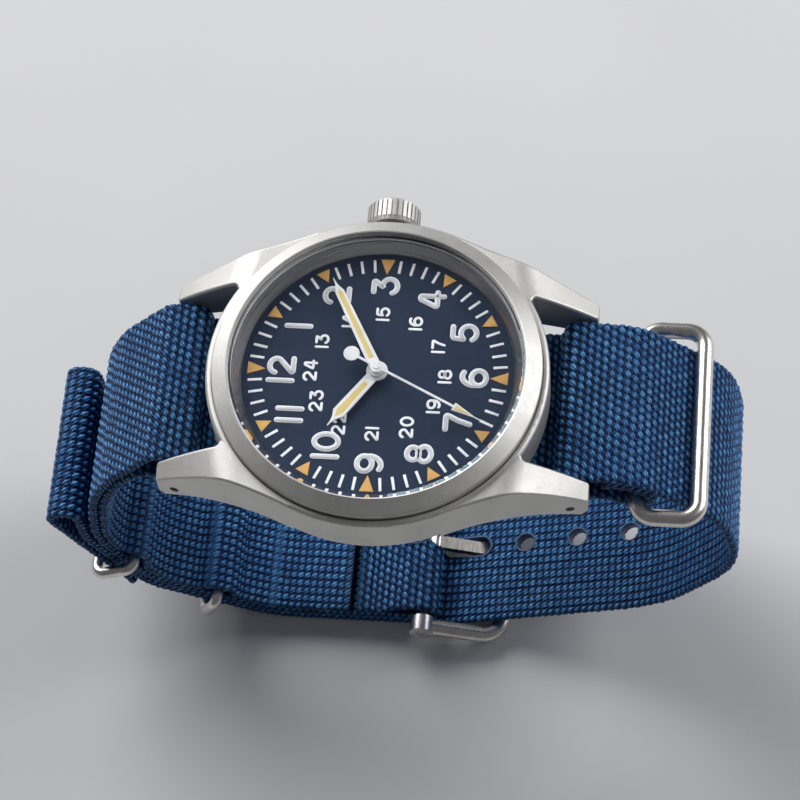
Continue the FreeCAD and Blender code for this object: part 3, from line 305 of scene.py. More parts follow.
TRACK_OUTER = 14.25
TRACK_INNER = 12.67
TICK_WIDTH = 0.31
TRIANGLE_BASE_R = 14.3
TRIANGLE_HALF = 0.8
TICK_BEVEL = 0.04
TRIANGLE_BEVEL = 0.07
QUARTER_TIP_R = 12.35    # triangles at 12, 3, 6 and 9
HOUR_TIP_R = 12.75

BIG_HEIGHT = 2.6         # numerals, measured on the stroke's centre line
BIG_WIDTH = 1.82
BIG_STROKE = 0.62
BIG_GAP = 0.28
ELEVEN_GAP = 0.8         # the two plain bars of 11 stand further apart
TEN_SHIFT = (0.5, -0.45)  # the 10 stands a little nearer the middle
CORE_SHARE = 0.62        # width of the lume in a numeral, as a share of its stroke
BIG_ACROSS = 10.95       # the numerals stand on an ellipse
BIG_UP = 10.6
SMALL_HEIGHT = 1.28
SMALL_WIDTH = 0.94
SMALL_STROKE = 0.30
SMALL_GAP = 0.2
SMALL_R = 7.4

CORNER_SHARE = 0.55      # radius of a numeral's rounded corners, as a share of its stroke
CORNER_REACH = 0.45      # the most of a line that a rounded corner may use
CORNER_STEPS = 6
FLAT_TURN = 2.4          # corners wider than this stay as they are, in radians
CLOSED_GAP = 1e-6        # a path whose two ends are nearer than this is closed
CAP_STEPS = 8            # steps in the half circle at a stroke's end
STROKE_RINGS = (         # width and height up a stroke's rounded side, as shares
    (1.0, 0.0),
    (1.0, 0.55),
    (0.88, 0.9),
    (0.6, 1.0),
)
PLATE_RINGS = (          # inset, and depth below the top, as shares of a plate's bevel
    (0.0, 0.6),
    (0.4, 0.15),
    (1.0, 0.0),
)


def arc(cx, cy, rx, ry, start, end, count=20):
    """Points on part of an ellipse. start and end are in degrees."""
    angles = np.radians(np.linspace(start, end, count))
    return [(cx + rx * math.cos(a), cy + ry * math.sin(a)) for a in angles]


# Each digit is strokes in a box one wide and one high about its middle.
DIGITS = {
    "0": [arc(0, 0, 0.5, 0.5, 90, 450, 40)],
    "1": [[(0, 0.5), (0, -0.5)]],
    "2": [arc(0.0, 0.20, 0.48, 0.30, 168, -22) + [(-0.48, -0.5), (0.5, -0.5)]],
    "3": [[(-0.42, 0.5), (0.40, 0.5), (-0.06, 0.10)] + arc(0.0, -0.18, 0.5, 0.32, 84, -158)],
    "4": [[(0.24, -0.5), (0.24, 0.5), (0.0, 0.5), (-0.5, -0.22), (0.5, -0.22)]],
    "5": [[(0.42, 0.5), (-0.36, 0.5), (-0.42, 0.03)] + arc(0.0, -0.17, 0.5, 0.33, 132, -150)],
    "6": [arc(0.08, 0.0, 0.58, 0.5, 62, 180), arc(0.0, -0.19, 0.5, 0.31, 180, 540, 40)],
    "7": [[(-0.5, 0.5), (0.48, 0.5), (0.12, 0.0), (-0.12, -0.5)]],
    "8": [arc(0, 0.25, 0.42, 0.25, -90, 270, 40), arc(0, -0.23, 0.5, 0.27, 90, 450, 40)],
    "9": [arc(-0.08, 0.0, 0.58, 0.5, 242, 360), arc(0.0, 0.19, 0.5, 0.31, 0, 360, 40)],
}


def softened(path, radius):
    """A path with its sharp corners rounded."""
    out = [path[0]]
    for before, here, after in zip(path, path[1:], path[2:]):
        a, b, c = np.array(before), np.array(here), np.array(after)
        u, v = a - b, c - b
        lu, lv = np.linalg.norm(u), np.linalg.norm(v)
        turn = math.acos(max(-1.0, min(1.0, float(u @ v) / (lu * lv))))
        if turn > FLAT_TURN:
            out.append(here)
            continue
        reach = min(radius, CORNER_REACH * lu, CORNER_REACH * lv)
        start, end = b + u / lu * reach, b + v / lv * reach
        for t in np.linspace(0, 1, CORNER_STEPS):
            out.append(tuple((1 - t) ** 2 * start + 2 * t * (1 - t) * b + t * t * end))
    return out + [path[-1]]


def stroke(bundle, path, width, low, high):
    """A raised stroke with round ends and a softly domed top, from a path in millimetres."""
    path = np.array(path)
    closed = np.linalg.norm(path[0] - path[-1]) < CLOSED_GAP
    if closed:
        path = path[:-1]
        ahead = np.roll(path, -1, 0) - np.roll(path, 1, 0)
    else:
        ahead = np.gradient(path, axis=0)
    ahead /= np.linalg.norm(ahead, axis=1)[:, None]
    left = np.stack([-ahead[:, 1], ahead[:, 0]], 1)
    count = len(path)
    arc_points = CAP_STEPS - 1

    def cap(centre, first, half):
        """The half circle at one end, clockwise from first, without its two ends."""
        start = math.atan2(first[1], first[0])
        turns = [start - math.pi * k / CAP_STEPS for k in range(1, CAP_STEPS)]
        return [centre + half * np.array((math.cos(a), math.sin(a))) for a in turns]

    def ring_points(half):
        """The points round the stroke at half its width: left side, then right side."""
        if closed:
            return [*(path + left * half), *(path - left * half)]
        return [*(path + left * half), *cap(path[-1], left[-1], half),
                *(path - left * half)[::-1], *cap(path[0], -left[0], half)]

    points, faces = [], []
    for share, up in STROKE_RINGS:
        z = low + up * (high - low)
        points += [(x, y, z) for x, y in ring_points(share * width / 2)]
    levels = len(STROKE_RINGS)
    size = len(points) // levels
    loops = [(0, count, 1), (count, 2 * count, -1)] if closed else [(0, size, 1)]
    for level in range(levels - 1):
        for first, last, way in loops:
            for i in range(first, last):
                j = i + 1 if i + 1 < last else first
                quad = (level * size + i, (level + 1) * size + i,
                        (level + 1) * size + j, level * size + j)
                faces.append(quad[::way])
    for base, way in ((0, -1), ((levels - 1) * size, 1)):
        if closed:
            for i in range(count):
                j = (i + 1) % count
                quad = (base + i, base + count + i, base + count + j, base + j)
                faces.append(quad[::way])
            continue
        right = [base + count + arc_points + count - 1 - i for i in range(count)]
        for i in range(count - 1):
            quad = (base + i, right[i], right[i + 1], base + i + 1)
            faces.append(quad[::way])
        far = [base + count - 1 + k for k in range(arc_points + 1)] + [right[-1]]
        near = [right[0] + k for k in range(arc_points + 1)] + [base]
        faces.append(tuple(far[::-1][::way]))
        faces.append(tuple(near[::-1][::way]))
    bundle.add(points, faces)


def plate(bundle, corners, bevel, low, high):
    """A raised flat shape with a bevelled top edge, from anticlockwise corners."""
    corners = np.array(corners)
    before, after = np.roll(corners, 1, 0), np.roll(corners, -1, 0)
    u = (corners - before) / np.linalg.norm(corners - before, axis=1)[:, None]
    v = (after - corners) / np.linalg.norm(after - corners, axis=1)[:, None]
    into = np.stack([-(u + v)[:, 1], (u + v)[:, 0]], 1)
    into /= (np.linalg.norm(into, axis=1) ** 2)[:, None] / 2
    points = [(x, y, low) for x, y in corners]
    for inset, down in PLATE_RINGS:
        points += [(x, y, high - bevel * down) for x, y in corners + into * bevel * inset]
    count = len(corners)
    top = len(points) - count
    faces = [tuple(range(count))[::-1], tuple(range(top, top + count))]
    for level in range(len(PLATE_RINGS)):
        for i in range(count):
            j = (i + 1) % count
            faces.append((level * count + i, level * count + j,
                          (level + 1) * count + j, (level + 1) * count + i))
    bundle.add(points, faces)


def number(bundle, text, centre, height, width, pen, gap, line, low, high):
    """Digits side by side about centre. pen sets their spacing and line their stroke."""
    widths = [pen if digit == "1" else width + pen for digit in text]
    x = centre[0] - (sum(widths) + gap * (len(text) - 1)) / 2
    for digit, wide in zip(text, widths):
        middle = x + wide / 2
        for path in DIGITS[digit]:
            placed = [(middle + px * width, centre[1] + py * height) for px, py in path]
            stroke(bundle, softened(placed, CORNER_SHARE * pen), line, low, high)
        x += wide + gap


def clock(hour, across, up):
    """A point on an ellipse about the dial's middle, at an hour."""
    angle = math.radians(hour * 30)
    return across * math.sin(angle), up * math.cos(angle)


def dial_print():
    """The raised numerals, minute track and hour triangles."""
    low = DIAL_Z - SUNK
    edges, cores, small = Bundle(), Bundle(), Bundle()
    for hour in range(1, 13):
        x, y = clock(hour, BIG_ACROSS, BIG_UP)
        if hour == 10:
            x, y = x + TEN_SHIFT[0], y + TEN_SHIFT[1]
        size = (BIG_HEIGHT, BIG_WIDTH, BIG_STROKE, ELEVEN_GAP if hour == 11 else BIG_GAP)
        number(edges, str(hour), (x, y), *size, BIG_STROKE, low, DIAL_Z + INK)
        number(cores, str(hour), (x, y), *size, BIG_STROKE * CORE_SHARE, low, DIAL_Z + LUME)
        size = (SMALL_HEIGHT, SMALL_WIDTH, SMALL_STROKE, SMALL_GAP)
        number(small, str(hour + 12), clock(hour, SMALL_R, SMALL_R), *size, SMALL_STROKE,
               low, DIAL_Z + INK)
    piece("numeral_edges", edges.points, edges.faces, numeral_white, "watch")
    piece("numeral_lume", cores.points, cores.faces, numeral_grey, "watch")
    piece("small_numerals", small.points, small.faces, numeral_white, "watch")

    track = Bundle()
    for minute in range(60):
        if minute % 5:
            angle = math.radians(90 - 6 * minute)
            out = np.array((math.cos(angle), math.sin(angle)))
            side = np.array((-out[1], out[0])) * TICK_WIDTH / 2
            ends = (out * TRACK_INNER, out * TRACK_OUTER)
            plate(track, [ends[0] - side, ends[1] - side, ends[1] + side, ends[0] + side],
                  TICK_BEVEL, low, DIAL_Z + INK)
    piece("minute_track", track.points, track.faces, numeral_white, "watch")

    marks = Bundle()
    for hour in range(12):
        angle = math.radians(90 - 30 * hour)
        out = np.array((math.cos(angle), math.sin(angle)))
        side = np.array((-out[1], out[0])) * TRIANGLE_HALF
        tip = QUARTER_TIP_R if hour % 3 == 0 else HOUR_TIP_R
        base = out * TRIANGLE_BASE_R
        plate(marks, [out * tip, base - side, base + side], TRIANGLE_BEVEL, low, DIAL_Z + LUME)
    piece("hour_triangles", marks.points, marks.faces, orange_lume, "watch")


# ---------------------------------------------------------------- webbing strap

WEB_THICK = 1.2
WEFT_PITCH = 0.84        # one plied yarn after another, along the strap
BEAD_PITCH = 1.0         # the beads that a yarn shows between two binding threads
STAGGER = 0.5            # how far beads in one row stand beside those of the next, outer face
SLANT = 0.45             # how much the gaps between beads lean, in beads for one row
CORD_SLANT = 0.35        # the same for the cords on the inner face
SADDLE = 0.2             # height of a yarn between two beads, as a share of the relief
PLY_LEAN = 0.8           # how much the groove between two plies leans across a bead
RELIEF = 0.34            # how deep the weave is
PROUD = 0.03             # how far the yarns' tops stand above the plain solid
YARN_SIZES = random.uniform(0.72, 1.0, (97, 89))    # height of each bead, as a share
YARN_SHIFTS = random.uniform(-0.12, 0.12, 97)       # sideways shift of each row, in beads

ROW_STEP = WEFT_PITCH / 4
COLUMN_STEP = 0.15
EDGE_STEPS = 7
CURVE_STEPS = 12         # steps between two corners of the plain solid's outline
SQUARE = 0.1             # cosine below which two sides count as square to each other
THICK_SLACK = 0.05       # how far an end's length may be from the strap's thickness

# Distances at which a fade is full and at which it has gone.
END_MELT = (0.28, 0.98)  # from a heat-sealed end
WELD_PRESS = (0.27, 0.72)    # from the middle of a pressed band
RIM_MELT = (0.1848, 0.4928)  # from the edge of a hole
WELDS = (15.0, 22.0, 29.0)   # y of the pressed bands that join the two layers
FLATTENED = 0.85         # how much of the relief is lost where the webbing is melted or pressed
PRESS_DEPTH = 0.06

HOLE_REACH = 1.5         # a hole's corners are nearer than this to the strap's middle
HOLE_APART = 1.2         # corners nearer than this along the strap belong to one hole
RIM = 0.22               # width of the melted rim round a hole
RIM_CUT = 0.55 * RIM     # the woven face stops this far from a hole
RIM_STEP = 9             # degrees from one point of a rim to the next

# The brightest blue is a painted highlight for the yarns' tops.
PAINTED_HIGHLIGHT_BLUE = (0.24, 0.64, 1.0)
YARN_MID = (0.030, 0.205, 0.72)
YARN_DARK = (0.008, 0.065, 0.29)
# The near-black blue is painted shade for the gaps between yarns and between plies.
PAINTED_SHADE_BLUE = (0.0005, 0.004, 0.026)
WELD_BLUE = (0.045, 0.15, 0.38)
MELT_BLUE = (0.006, 0.022, 0.070)


def webbing_cloth(name):
    """Coarse blue nylon: plied yarns across the strap, bound by thin lengthwise threads. Its colour
    carries a painted highlight on the yarns' tops and painted shade in the gaps and ply grooves.

    The mesh carries, for each point: weave = (distance along, distance across, height of the
    relief), zone = (outer face, melted, pressed flat) and ply = (place in a row, in a bead)."""
    s = Surface(name)
    weave = s.node("ShaderNodeAttribute", attribute_name="weave").outputs["Vector"]
    zone = s.node("ShaderNodeAttribute", attribute_name="zone").outputs["Vector"]
    along, across, height = s.axes(weave)[:3]
    outer, melted, pressed = s.axes(zone)[:3]
    ply = s.node("ShaderNodeAttribute", attribute_name="ply").outputs["Vector"]
    in_row, in_bead = s.axes(ply)[:2]

    twist = s.vector(s.math("MULTIPLY_ADD", along, 5.0, s.math("MULTIPLY", across, -4.0)),
                     s.math("MULTIPLY", across, 1.2), s.math("MULTIPLY", outer, 3.0))
    filaments = s.noise(1.0, 3.0, twist)
    tufts = s.noise(1.7, 2.0, s.vector(along, across, outer))
    drift = s.noise(0.12, 3.0)

    plies = s.math("MULTIPLY", s.math("MULTIPLY_ADD", in_row, PLY_LEAN, in_bead), 2.0)
    off_ply = s.math("ABSOLUTE", s.math("SUBTRACT", s.math("FRACT", plies), 0.5))
    groove = s.spread(off_ply, 0.0, 1.0, 0.28, 0.5)
    swell = s.math("SUBTRACT", 1.0, s.math("MULTIPLY", s.math("MULTIPLY", off_ply, off_ply), 4.0))

    yarn = s.mix(s.spread(filaments, 0.0, 1.0, 0.35, 0.65), YARN_DARK, YARN_MID)
    # Painted highlight: the yarns' highest parts are mixed towards a bright blue that stands in for
    # light on them.
    tops = s.math("MULTIPLY", s.spread(height, 0.0, 1.0, 0.4, 0.85), s.spread(filaments, 0.3, 1.0))
    crown = s.mix(tops, yarn, PAINTED_HIGHLIGHT_BLUE)
    varied = s.mix(s.spread(tufts, 0.0, 0.4, 0.4, 0.65), crown, YARN_DARK)
    # Painted shade: the groove between two plies is darkened towards a near-black blue.
    ply_groove_shade = s.mix(s.math("MULTIPLY", groove, 0.7), varied, PAINTED_SHADE_BLUE)
    # Painted shade: the low parts of the weave, between the yarns, are darkened towards the same
    # near-black blue.
    deep = s.mix(s.spread(height, 1.0, 0.0, 0.25, 0.7), ply_groove_shade, PAINTED_SHADE_BLUE)
    aged = s.mix(s.spread(drift, 0.0, 0.25), deep, YARN_DARK)
    flat = s.mix(s.math("MULTIPLY", pressed, 0.6), aged, WELD_BLUE)
    s.set(Base_Color=s.mix(s.math("MULTIPLY", melted, 0.75), flat, MELT_BLUE))
    s.set(Roughness=s.spread(filaments, 0.30, 0.46), Specular_Tint=rgba((0.5, 0.8, 1.0)))
    s.set(Specular_IOR_Level=0.45)
    s.set(Normal=s.bump(filaments, 0.06, s.bump(swell, 0.10)))
    return s.material


nylon = webbing_cloth("nylon_webbing")
melted_nylon = grained("melted_nylon", (0.010, 0.035, 0.10), (0.03, 0.09, 0.22), (0.28, 0.42),
                       grain=5.0, depth=0.02)


def side_outline(node):
    """The corners (y, z) round a strap's +X side, anticlockwise, from its plain solid."""
    mesh = bmesh.new()
    mesh.from_mesh(frame["nodes"][node].data)
    bmesh.ops.remove_doubles(mesh, verts=mesh.verts, dist=SAME_POINT)
    mesh.verts.index_update()
    side = max(v.co.x for v in mesh.verts) - SAME_POINT
    flat = {f for f in mesh.faces if min(v.co.x for v in f.verts) > side}
    beside = {}
    for edge in mesh.edges:
        if sum(f in flat for f in edge.link_faces) == 1:
            a, b = edge.verts
            beside.setdefault(a.index, []).append(b.index)
            beside.setdefault(b.index, []).append(a.index)
    walk = [next(iter(beside))]
    walk.append(beside[walk[0]][0])
    while len(walk) < len(beside):
        a, b = beside[walk[-1]]
        walk.append(b if a == walk[-2] else a)
    mesh.verts.ensure_lookup_table()
    points = np.array([(mesh.verts[i].co.y, mesh.verts[i].co.z) for i in walk]) / MM
    mesh.free()
    y, z = points.T
    area = (y * np.roll(z, -1) - z * np.roll(y, -1)).sum()
    return points if area > 0 else points[::-1]


def centre_line(node, thick):
    """Evenly spaced points along the middle of a strap, and its outward normals.

    The line starts at the lower end, and outward is to its right."""
    points = side_outline(node)
    run = np.roll(points, -1, 0) - points
    size = np.linalg.norm(run, axis=1)
    unit = run / size[:, None]
    before, after = np.roll(unit, 1, 0), np.roll(unit, -1, 0)
    square = abs((unit * before).sum(1)) < SQUARE
    square &= abs((unit * after).sum(1)) < SQUARE
    ends = np.flatnonzero(square & (abs(size - thick) < THICK_SLACK))
    start = min(ends, key=lambda i: points[i, 1])
    finish = max(ends, key=lambda i: points[i, 1])
    span = (finish - start) % len(points)
    chain = points[(start + 1 + np.arange(span)) % len(points)]
    ahead = np.gradient(chain, axis=0)
    ahead[1:-1] = chain[2:] - chain[:-2]
    ahead /= np.linalg.norm(ahead, axis=1)[:, None]
    middle = chain + np.stack([-ahead[:, 1], ahead[:, 0]], 1) * thick / 2

    t = np.linspace(0, 1, CURVE_STEPS, endpoint=False)[:, None]
    fine = []
    for p, q, a, b in zip(middle, middle[1:], ahead, ahead[1:]):
        reach = np.linalg.norm(q - p)
        fine.append(p * (2 * t**3 - 3 * t**2 + 1) + a * reach * (t**3 - 2 * t**2 + t)
                    + q * (3 * t**2 - 2 * t**3) + b * reach * (t**3 - t**2))
    fine = np.concatenate(fine + [middle[-1:]])
    gone = np.concatenate([[0], np.cumsum(np.linalg.norm(np.diff(fine, axis=0), axis=1))])
    count = round(gone[-1] / ROW_STEP)
    along = np.linspace(0, gone[-1], count + 1)
    line = np.stack([np.interp(along, gone, fine[:, k]) for k in (0, 1)], 1)
    ahead = np.gradient(line, axis=0)
    ahead /= np.linalg.norm(ahead, axis=1)[:, None]
    outward = np.stack([ahead[:, 1], -ahead[:, 0]], 1)
    return along, line, outward


def find_holes(node, along, line):
    """(start, end, half width) of each hole, from the solid's corners near the middle."""
    found = {}
    for v in frame["nodes"][node].data.vertices:
        x, y, z = v.co / MM
        if abs(x) < HOLE_REACH:
            at = along[np.argmin((line[:, 0] - y) ** 2 + (line[:, 1] - z) ** 2)]
            found.setdefault(round(float(at), 3), []).append(abs(x))
    holes = []
    for at in sorted(found):
        wide = max(found[at])
        if holes and at - holes[-1][1] < HOLE_APART:
            holes[-1][1] = at
            holes[-1][2] = max(holes[-1][2], wide)
        else:
            holes.append([at, at, wide])
    return holes


def relief(along, across, outer):
    """The weave's height, 0 to 1, and the place in a row and in a bead, -0.5 to 0.5.

    Outside it has slanted beads in staggered rows, and inside the beads stand in line."""
    rows = along / WEFT_PITCH
    row = np.floor(rows)
    in_row = rows - row - 0.5
    beads = across / BEAD_PITCH + (row % 2) * STAGGER + SLANT * in_row
    beads = beads + YARN_SHIFTS[row.astype(int) % len(YARN_SHIFTS)]
    bead = np.floor(beads)
    in_bead = beads - bead - 0.5
    uneven = YARN_SIZES[row.astype(int) % YARN_SIZES.shape[0],
                        bead.astype(int) % YARN_SIZES.shape[1]]
    domes = SADDLE + (1 - SADDLE) * np.cos(math.pi * in_bead) ** 0.8
    beaded = np.cos(math.pi * in_row) ** 0.7 * domes
    cords = across / BEAD_PITCH
    in_cord = cords - np.floor(cords) - 0.5
    turns = rows + CORD_SLANT * in_cord
    in_turn = turns - np.floor(turns) - 0.5
    corded = (np.cos(math.pi * in_cord) * np.cos(math.pi * in_turn)) ** 0.6
    height = (beaded * outer + corded * (1 - outer)) * uneven
    outside = outer > 0.5
    return height, np.where(outside, in_row, in_turn), np.where(outside, in_bead, in_cord)


def section(width, thick):
    """Points round the webbing's section.

    For each: x, distance out, the normal's x and out, distance across and outer share."""
    flat = width / 2 - thick / 2
    steps = round(2 * flat / COLUMN_STEP)
    columns = []
    for side in (1, -1):
        for x in np.linspace(-flat * side, flat * side, steps, endpoint=False):
            columns.append((x, side * thick / 2, 0.0, side, x, (1 + side) / 2))
        for k in range(EDGE_STEPS):
            turn = math.pi * k / EDGE_STEPS
            nx, no = side * math.sin(turn), side * math.cos(turn)
            reach = flat + thick / 2 * (math.pi / 2 - abs(math.pi / 2 - turn))
            columns.append((side * flat + nx * thick / 2, no * thick / 2, nx, no,
                            side * reach, (1 + no) / 2))
    return np.array(columns).T


def fade(distance, reach):
    """1 up to the first distance in reach, falling to 0 at the second."""
    return np.interp(distance, reach, (1.0, 0.0))


def strap(name, node, parts, material, welds=()):
    """A woven strap along its plain solid, in several pieces that meet without a seam."""
    low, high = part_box(node)
    width = (high.x - low.x) / MM
    along, line, outward = centre_line(node, WEB_THICK)
    holes = find_holes(node, along, line)
    x, out, nx, no, across, outer = section(width, WEB_THICK)

    from_end = np.minimum(along, along[-1] - along)
    melted = fade(from_end, END_MELT)[:, None] * np.ones_like(x)
    pressed = np.zeros_like(melted)
    for place in welds:
        crossing = np.flatnonzero(np.diff(np.sign(line[:, 0] - place)))[0]
        pressed += fade(abs(along - along[crossing]), WELD_PRESS)[:, None]
    cut = np.zeros_like(melted, bool)
    for start, finish, half in holes:
        bend = max(0.0, (finish - start) / 2 - half)
        middle = (start + finish) / 2
        gap = np.hypot(np.maximum(abs(along - middle) - bend, 0)[:, None], across) - half
        melted = np.maximum(melted, fade(gap, RIM_MELT))
        cut |= gap < RIM_CUT

    woven, in_row, in_bead = relief(along[:, None], across, outer)
    depth = RELIEF * (1 - FLATTENED * np.maximum(melted, pressed))
    lift = PROUD - depth * (1 - woven) - PRESS_DEPTH * pressed
    grid = np.empty((*woven.shape, 3))
    grid[..., 0] = x + nx * lift
    for axis in (0, 1):
        grid[..., axis + 1] = line[:, axis, None] + outward[:, axis, None] * (out + no * lift)
    down = np.gradient(grid, axis=0)
    over = np.roll(grid, -1, 1) - np.roll(grid, 1, 1)
    normals = np.cross(over, down)
    normals /= np.linalg.norm(normals, axis=2)[..., None]
    weave = np.stack([along[:, None] + 0 * woven, across + 0 * woven, woven], 2)
    zone = np.stack([outer + 0 * woven, melted, pressed], 2)
    ply = np.stack([in_row, in_bead, 0 * woven], 2)

    bounds = np.linspace(0, len(along) - 1, parts + 1).astype(int)
    for k, (first, last) in enumerate(zip(bounds, bounds[1:])):
        rows = slice(first, last + 1)
        made = woven_piece(f"{name}_{k + 1}", grid[rows], normals[rows], cut[rows], material,
                           weave=weave[rows], zone=zone[rows], ply=ply[rows])
        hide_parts(node)
    if holes:
        rims = Bundle()
        for hole in holes:
            hole_rim(rims, hole, along, line, outward)
        piece(f"{name}_hole_rims", rims.points, rims.faces, melted_nylon, "watch")


def woven_piece(name, grid, normals, cut, material, **labelled):
    """Part of a strap from rows of points, without the faces inside a hole.

    Each of labelled becomes a mesh attribute. The strap's two ends get a flat face."""
    rows, columns = grid.shape[:2]
    index = np.arange(rows * columns).reshape(rows, columns)
    right = np.roll(index, -1, 1)
    quads = np.stack([index[:-1], right[:-1], right[1:], index[1:]], 2).reshape(-1, 4)
    quads = quads[~cut.reshape(-1)[quads].all(1)]
    used = np.unique(quads)
    place = np.full(rows * columns, -1)
    place[used] = np.arange(len(used))
    flat = [a.reshape(-1, 3)[used] for a in (grid, normals, *labelled.values())]
    faces = place[quads].tolist()
    for row, way in ((0, 1), (rows - 1, -1)):
        if cut[row].any():
            continue
        start = len(flat[0])
        middle = grid[row].mean(0) - grid[row - 1 if row else 1].mean(0)
        facing = np.tile(middle / np.linalg.norm(middle), (columns, 1))
        for k, more in enumerate((grid[row], facing, *(a[row] for a in labelled.values()))):
            flat[k] = np.concatenate([flat[k], more])
        faces.append((np.arange(start, start + columns)[::way][::-1]).tolist())
    made = piece(name, flat[0], faces, material, "watch", flat[1])
    for label, values in zip(labelled, flat[2:]):
        attribute = made.data.attributes.new(label, "FLOAT_VECTOR", "POINT")
        attribute.data.foreach_set("vector", values.astype(np.float32).ravel())
    return made


def hole_rim(bundle, hole, along, line, outward):
    """A heat-sealed rim round one hole, through the webbing and a little proud of it."""
    start, finish, half = hole
    bend = max(0.0, (finish - start) / 2 - half)
    middle = (start + finish) / 2
    top = WEB_THICK / 2 + PROUD
    # Distances from the hole's edge and from the webbing's middle plane.
    upper = ((RIM * 1.5, top - 0.1), (RIM, top + 0.005), (RIM * 0.5, top + 0.015),
             (0.03, top - 0.06), (0.0, top - 0.2))
    profile = (*upper, *((r, -z) for r, z in upper[::-1]))
    turns = np.radians(np.arange(0, 360, RIM_STEP))
    points = []
    for grow, out in profile:
        for turn in turns:
            s = middle + math.copysign(bend, math.cos(turn)) + (half + grow) * math.cos(turn)
            at = [np.interp(s, along, line[:, k]) + out * np.interp(s, along, outward[:, k])
                  for k in (0, 1)]
            points.append(((half + grow) * math.sin(turn), *at))
    count, faces = len(turns), []
    for level in range(len(profile)):
        for i in range(count):
            j = (i + 1) % count
            below = (level + 1) % len(profile)
            faces.append((level * count + i, below * count + i,
                          below * count + j, level * count + j))
    bundle.add(points, faces)


# ---------------------------------------------------------------- spring bar springs

COIL_Y = 21.7
COIL_Z = 41.4
COIL_R = 0.26
COIL_WIRE_R = 0.085
COIL_TURNS = 5           # in each half of a spring
COIL_HALF = 5.9          # length of half a spring
COIL_STEPS = 20          # steps in a turn
COIL_SIDES = 8           # corners of the wire's section


def half_spring(name, side, y):
    """Half of a spring bar's spring, from the bar's middle to one pin.

    The real spring shortens as the pin is pressed; this mesh is made at one length."""
    rows = COIL_TURNS * COIL_STEPS
    rise = COIL_HALF - 2 * COIL_WIRE_R
    points = []
    for row in range(rows + 1):
        turn = math.tau * row / COIL_STEPS
        x = side * (COIL_WIRE_R + rise * row / rows)
        for k in range(COIL_SIDES):
            around = math.tau * k / COIL_SIDES
            out = COIL_R + COIL_WIRE_R * math.cos(around)
            points.append((x + side * COIL_WIRE_R * math.sin(around),
                           y + out * math.cos(turn), COIL_Z + out * math.sin(turn)))
    last = rows * COIL_SIDES
    faces = [tuple(range(COIL_SIDES)), tuple(range(last, last + COIL_SIDES))[::-1]]
    for row in range(rows):
        for k in range(COIL_SIDES):
            a = row * COIL_SIDES + k
            b = row * COIL_SIDES + (k + 1) % COIL_SIDES
            faces.append((a, a + COIL_SIDES, b + COIL_SIDES, b))
    if side < 0:
        faces = [tuple(reversed(face)) for face in faces]
    made = piece(name, points, faces, SLOTS["steel_parts"], "watch")
    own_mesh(made)
    return made


# ---------------------------------------------------------------- stage, lights and camera

# These are in metres.
FLOOR_HALF = 1.5
FLOOR_Z = -0.0001
WATCH_MIDDLE = (0.0, 0.0, 0.035)
LIGHTS = (               # name, place, size and watts
    ("key_light", (0.39, 0.31, 0.38), 0.50, 3.3),
    ("side_light", (0.22, -0.50, 0.34), 0.44, 2.2),
)
WORLD_COLOUR = (0.80, 0.82, 0.86)
WORLD_STRENGTH = 0.14

CAMERA_PLACE = (-0.15025, -0.0317, 0.33641)
CAMERA_RIGHT = (0.0818, -0.995, -0.058)
CAMERA_UP = (0.8886, 0.0465, 0.4564)
CAMERA_NEAR = 0.01
CAMERA_LENS = 135        # millimetres
CAMERA_SENSOR = 36


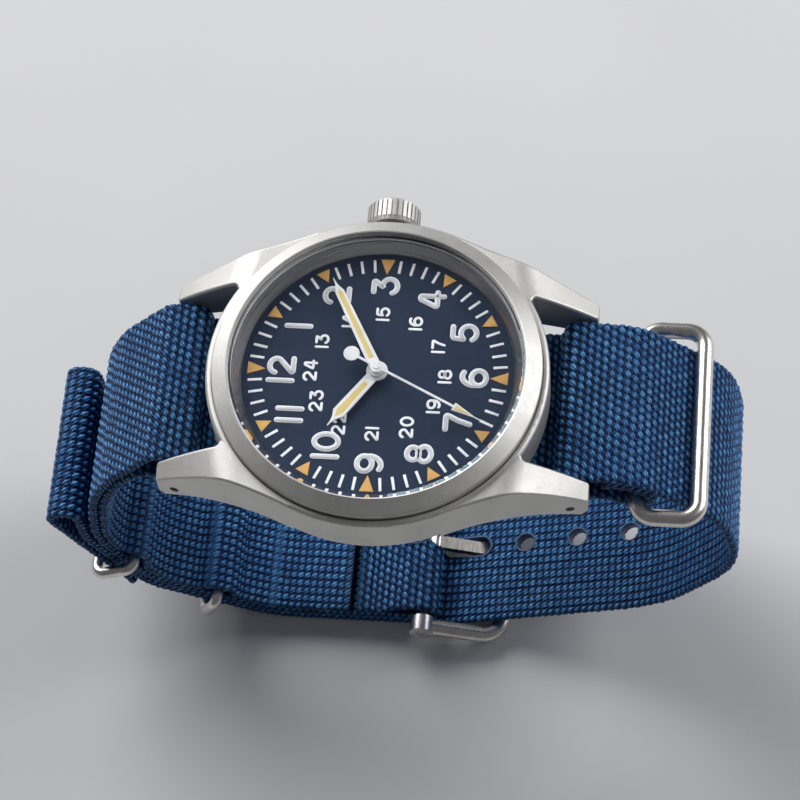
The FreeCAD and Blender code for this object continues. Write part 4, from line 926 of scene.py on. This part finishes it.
def studio():
    """A pale floor, a pale surround and two large soft lights."""
    mesh = bpy.data.meshes.new("floor")
    corners = [(-FLOOR_HALF, -FLOOR_HALF, 0), (FLOOR_HALF, -FLOOR_HALF, 0),
               (FLOOR_HALF, FLOOR_HALF, 0), (-FLOOR_HALF, FLOOR_HALF, 0)]
    mesh.from_pydata(corners, [], [(0, 1, 2, 3)])
    floor = bpy.data.objects.new("floor", mesh)
    floor.location.z = FLOOR_Z
    s = Surface("floor_paper")
    s.set(Base_Color=s.mix(s.noise(0.02, 3.0), (0.70, 0.70, 0.71), (0.76, 0.76, 0.77)))
    s.set(Roughness=0.8, Specular_IOR_Level=0.2)
    mesh.materials.append(s.material)
    bpy.context.scene.collection.objects.link(floor)

    world = bpy.data.worlds.new("studio")
    world.use_nodes = True
    background = world.node_tree.nodes["Background"]
    background.inputs["Color"].default_value = rgba(WORLD_COLOUR)
    background.inputs["Strength"].default_value = WORLD_STRENGTH
    bpy.context.scene.world = world

    for name, place, size, power in LIGHTS:
        light = bpy.data.lights.new(name, "AREA")
        light.shape = "DISK"
        light.size = size
        light.energy = power
        lamp = bpy.data.objects.new(name, light)
        lamp.location = place
        aim = Vector(WATCH_MIDDLE) - lamp.location
        lamp.rotation_euler = aim.to_track_quat("-Z", "Y").to_euler()
        bpy.context.scene.collection.objects.link(lamp)


def camera():
    """The photo's direction, from where it was taken."""
    data = bpy.data.cameras.new("camera")
    data.lens = CAMERA_LENS
    data.sensor_width = CAMERA_SENSOR
    data.clip_start = CAMERA_NEAR
    made = bpy.data.objects.new("camera", data)
    right = Vector(CAMERA_RIGHT).normalized()
    back = right.cross(Vector(CAMERA_UP)).normalized()
    turn = Matrix((right, back.cross(right), back)).transposed()
    made.matrix_world = Matrix.Translation(CAMERA_PLACE) @ turn.to_4x4()
    bpy.context.scene.collection.objects.link(made)
    bpy.context.scene.camera = made
    bpy.context.scene.view_settings.view_transform = "Standard"


# ---------------------------------------------------------------- make it all

camera()
studio()
for part in frame["record"]["subparts"]:
    if part["material_slot"] in SLOTS:
        node = frame["nodes"][part["node"]]
        for holder in node.material_slots:
            holder.material = SLOTS[part["material_slot"]]
dial_print()
strap("main_strap_weave", "main_strap", 4, nylon)
strap("under_strap_weave", "under_strap", 2, nylon, WELDS)
for hour, y in (("12", COIL_Y), ("6", -COIL_Y)):
    for side, end in ((-1, "left"), (1, "right")):
        half = half_spring(f"spring_{hour}_{end}", side, y)
        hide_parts("spring_bar_springs")
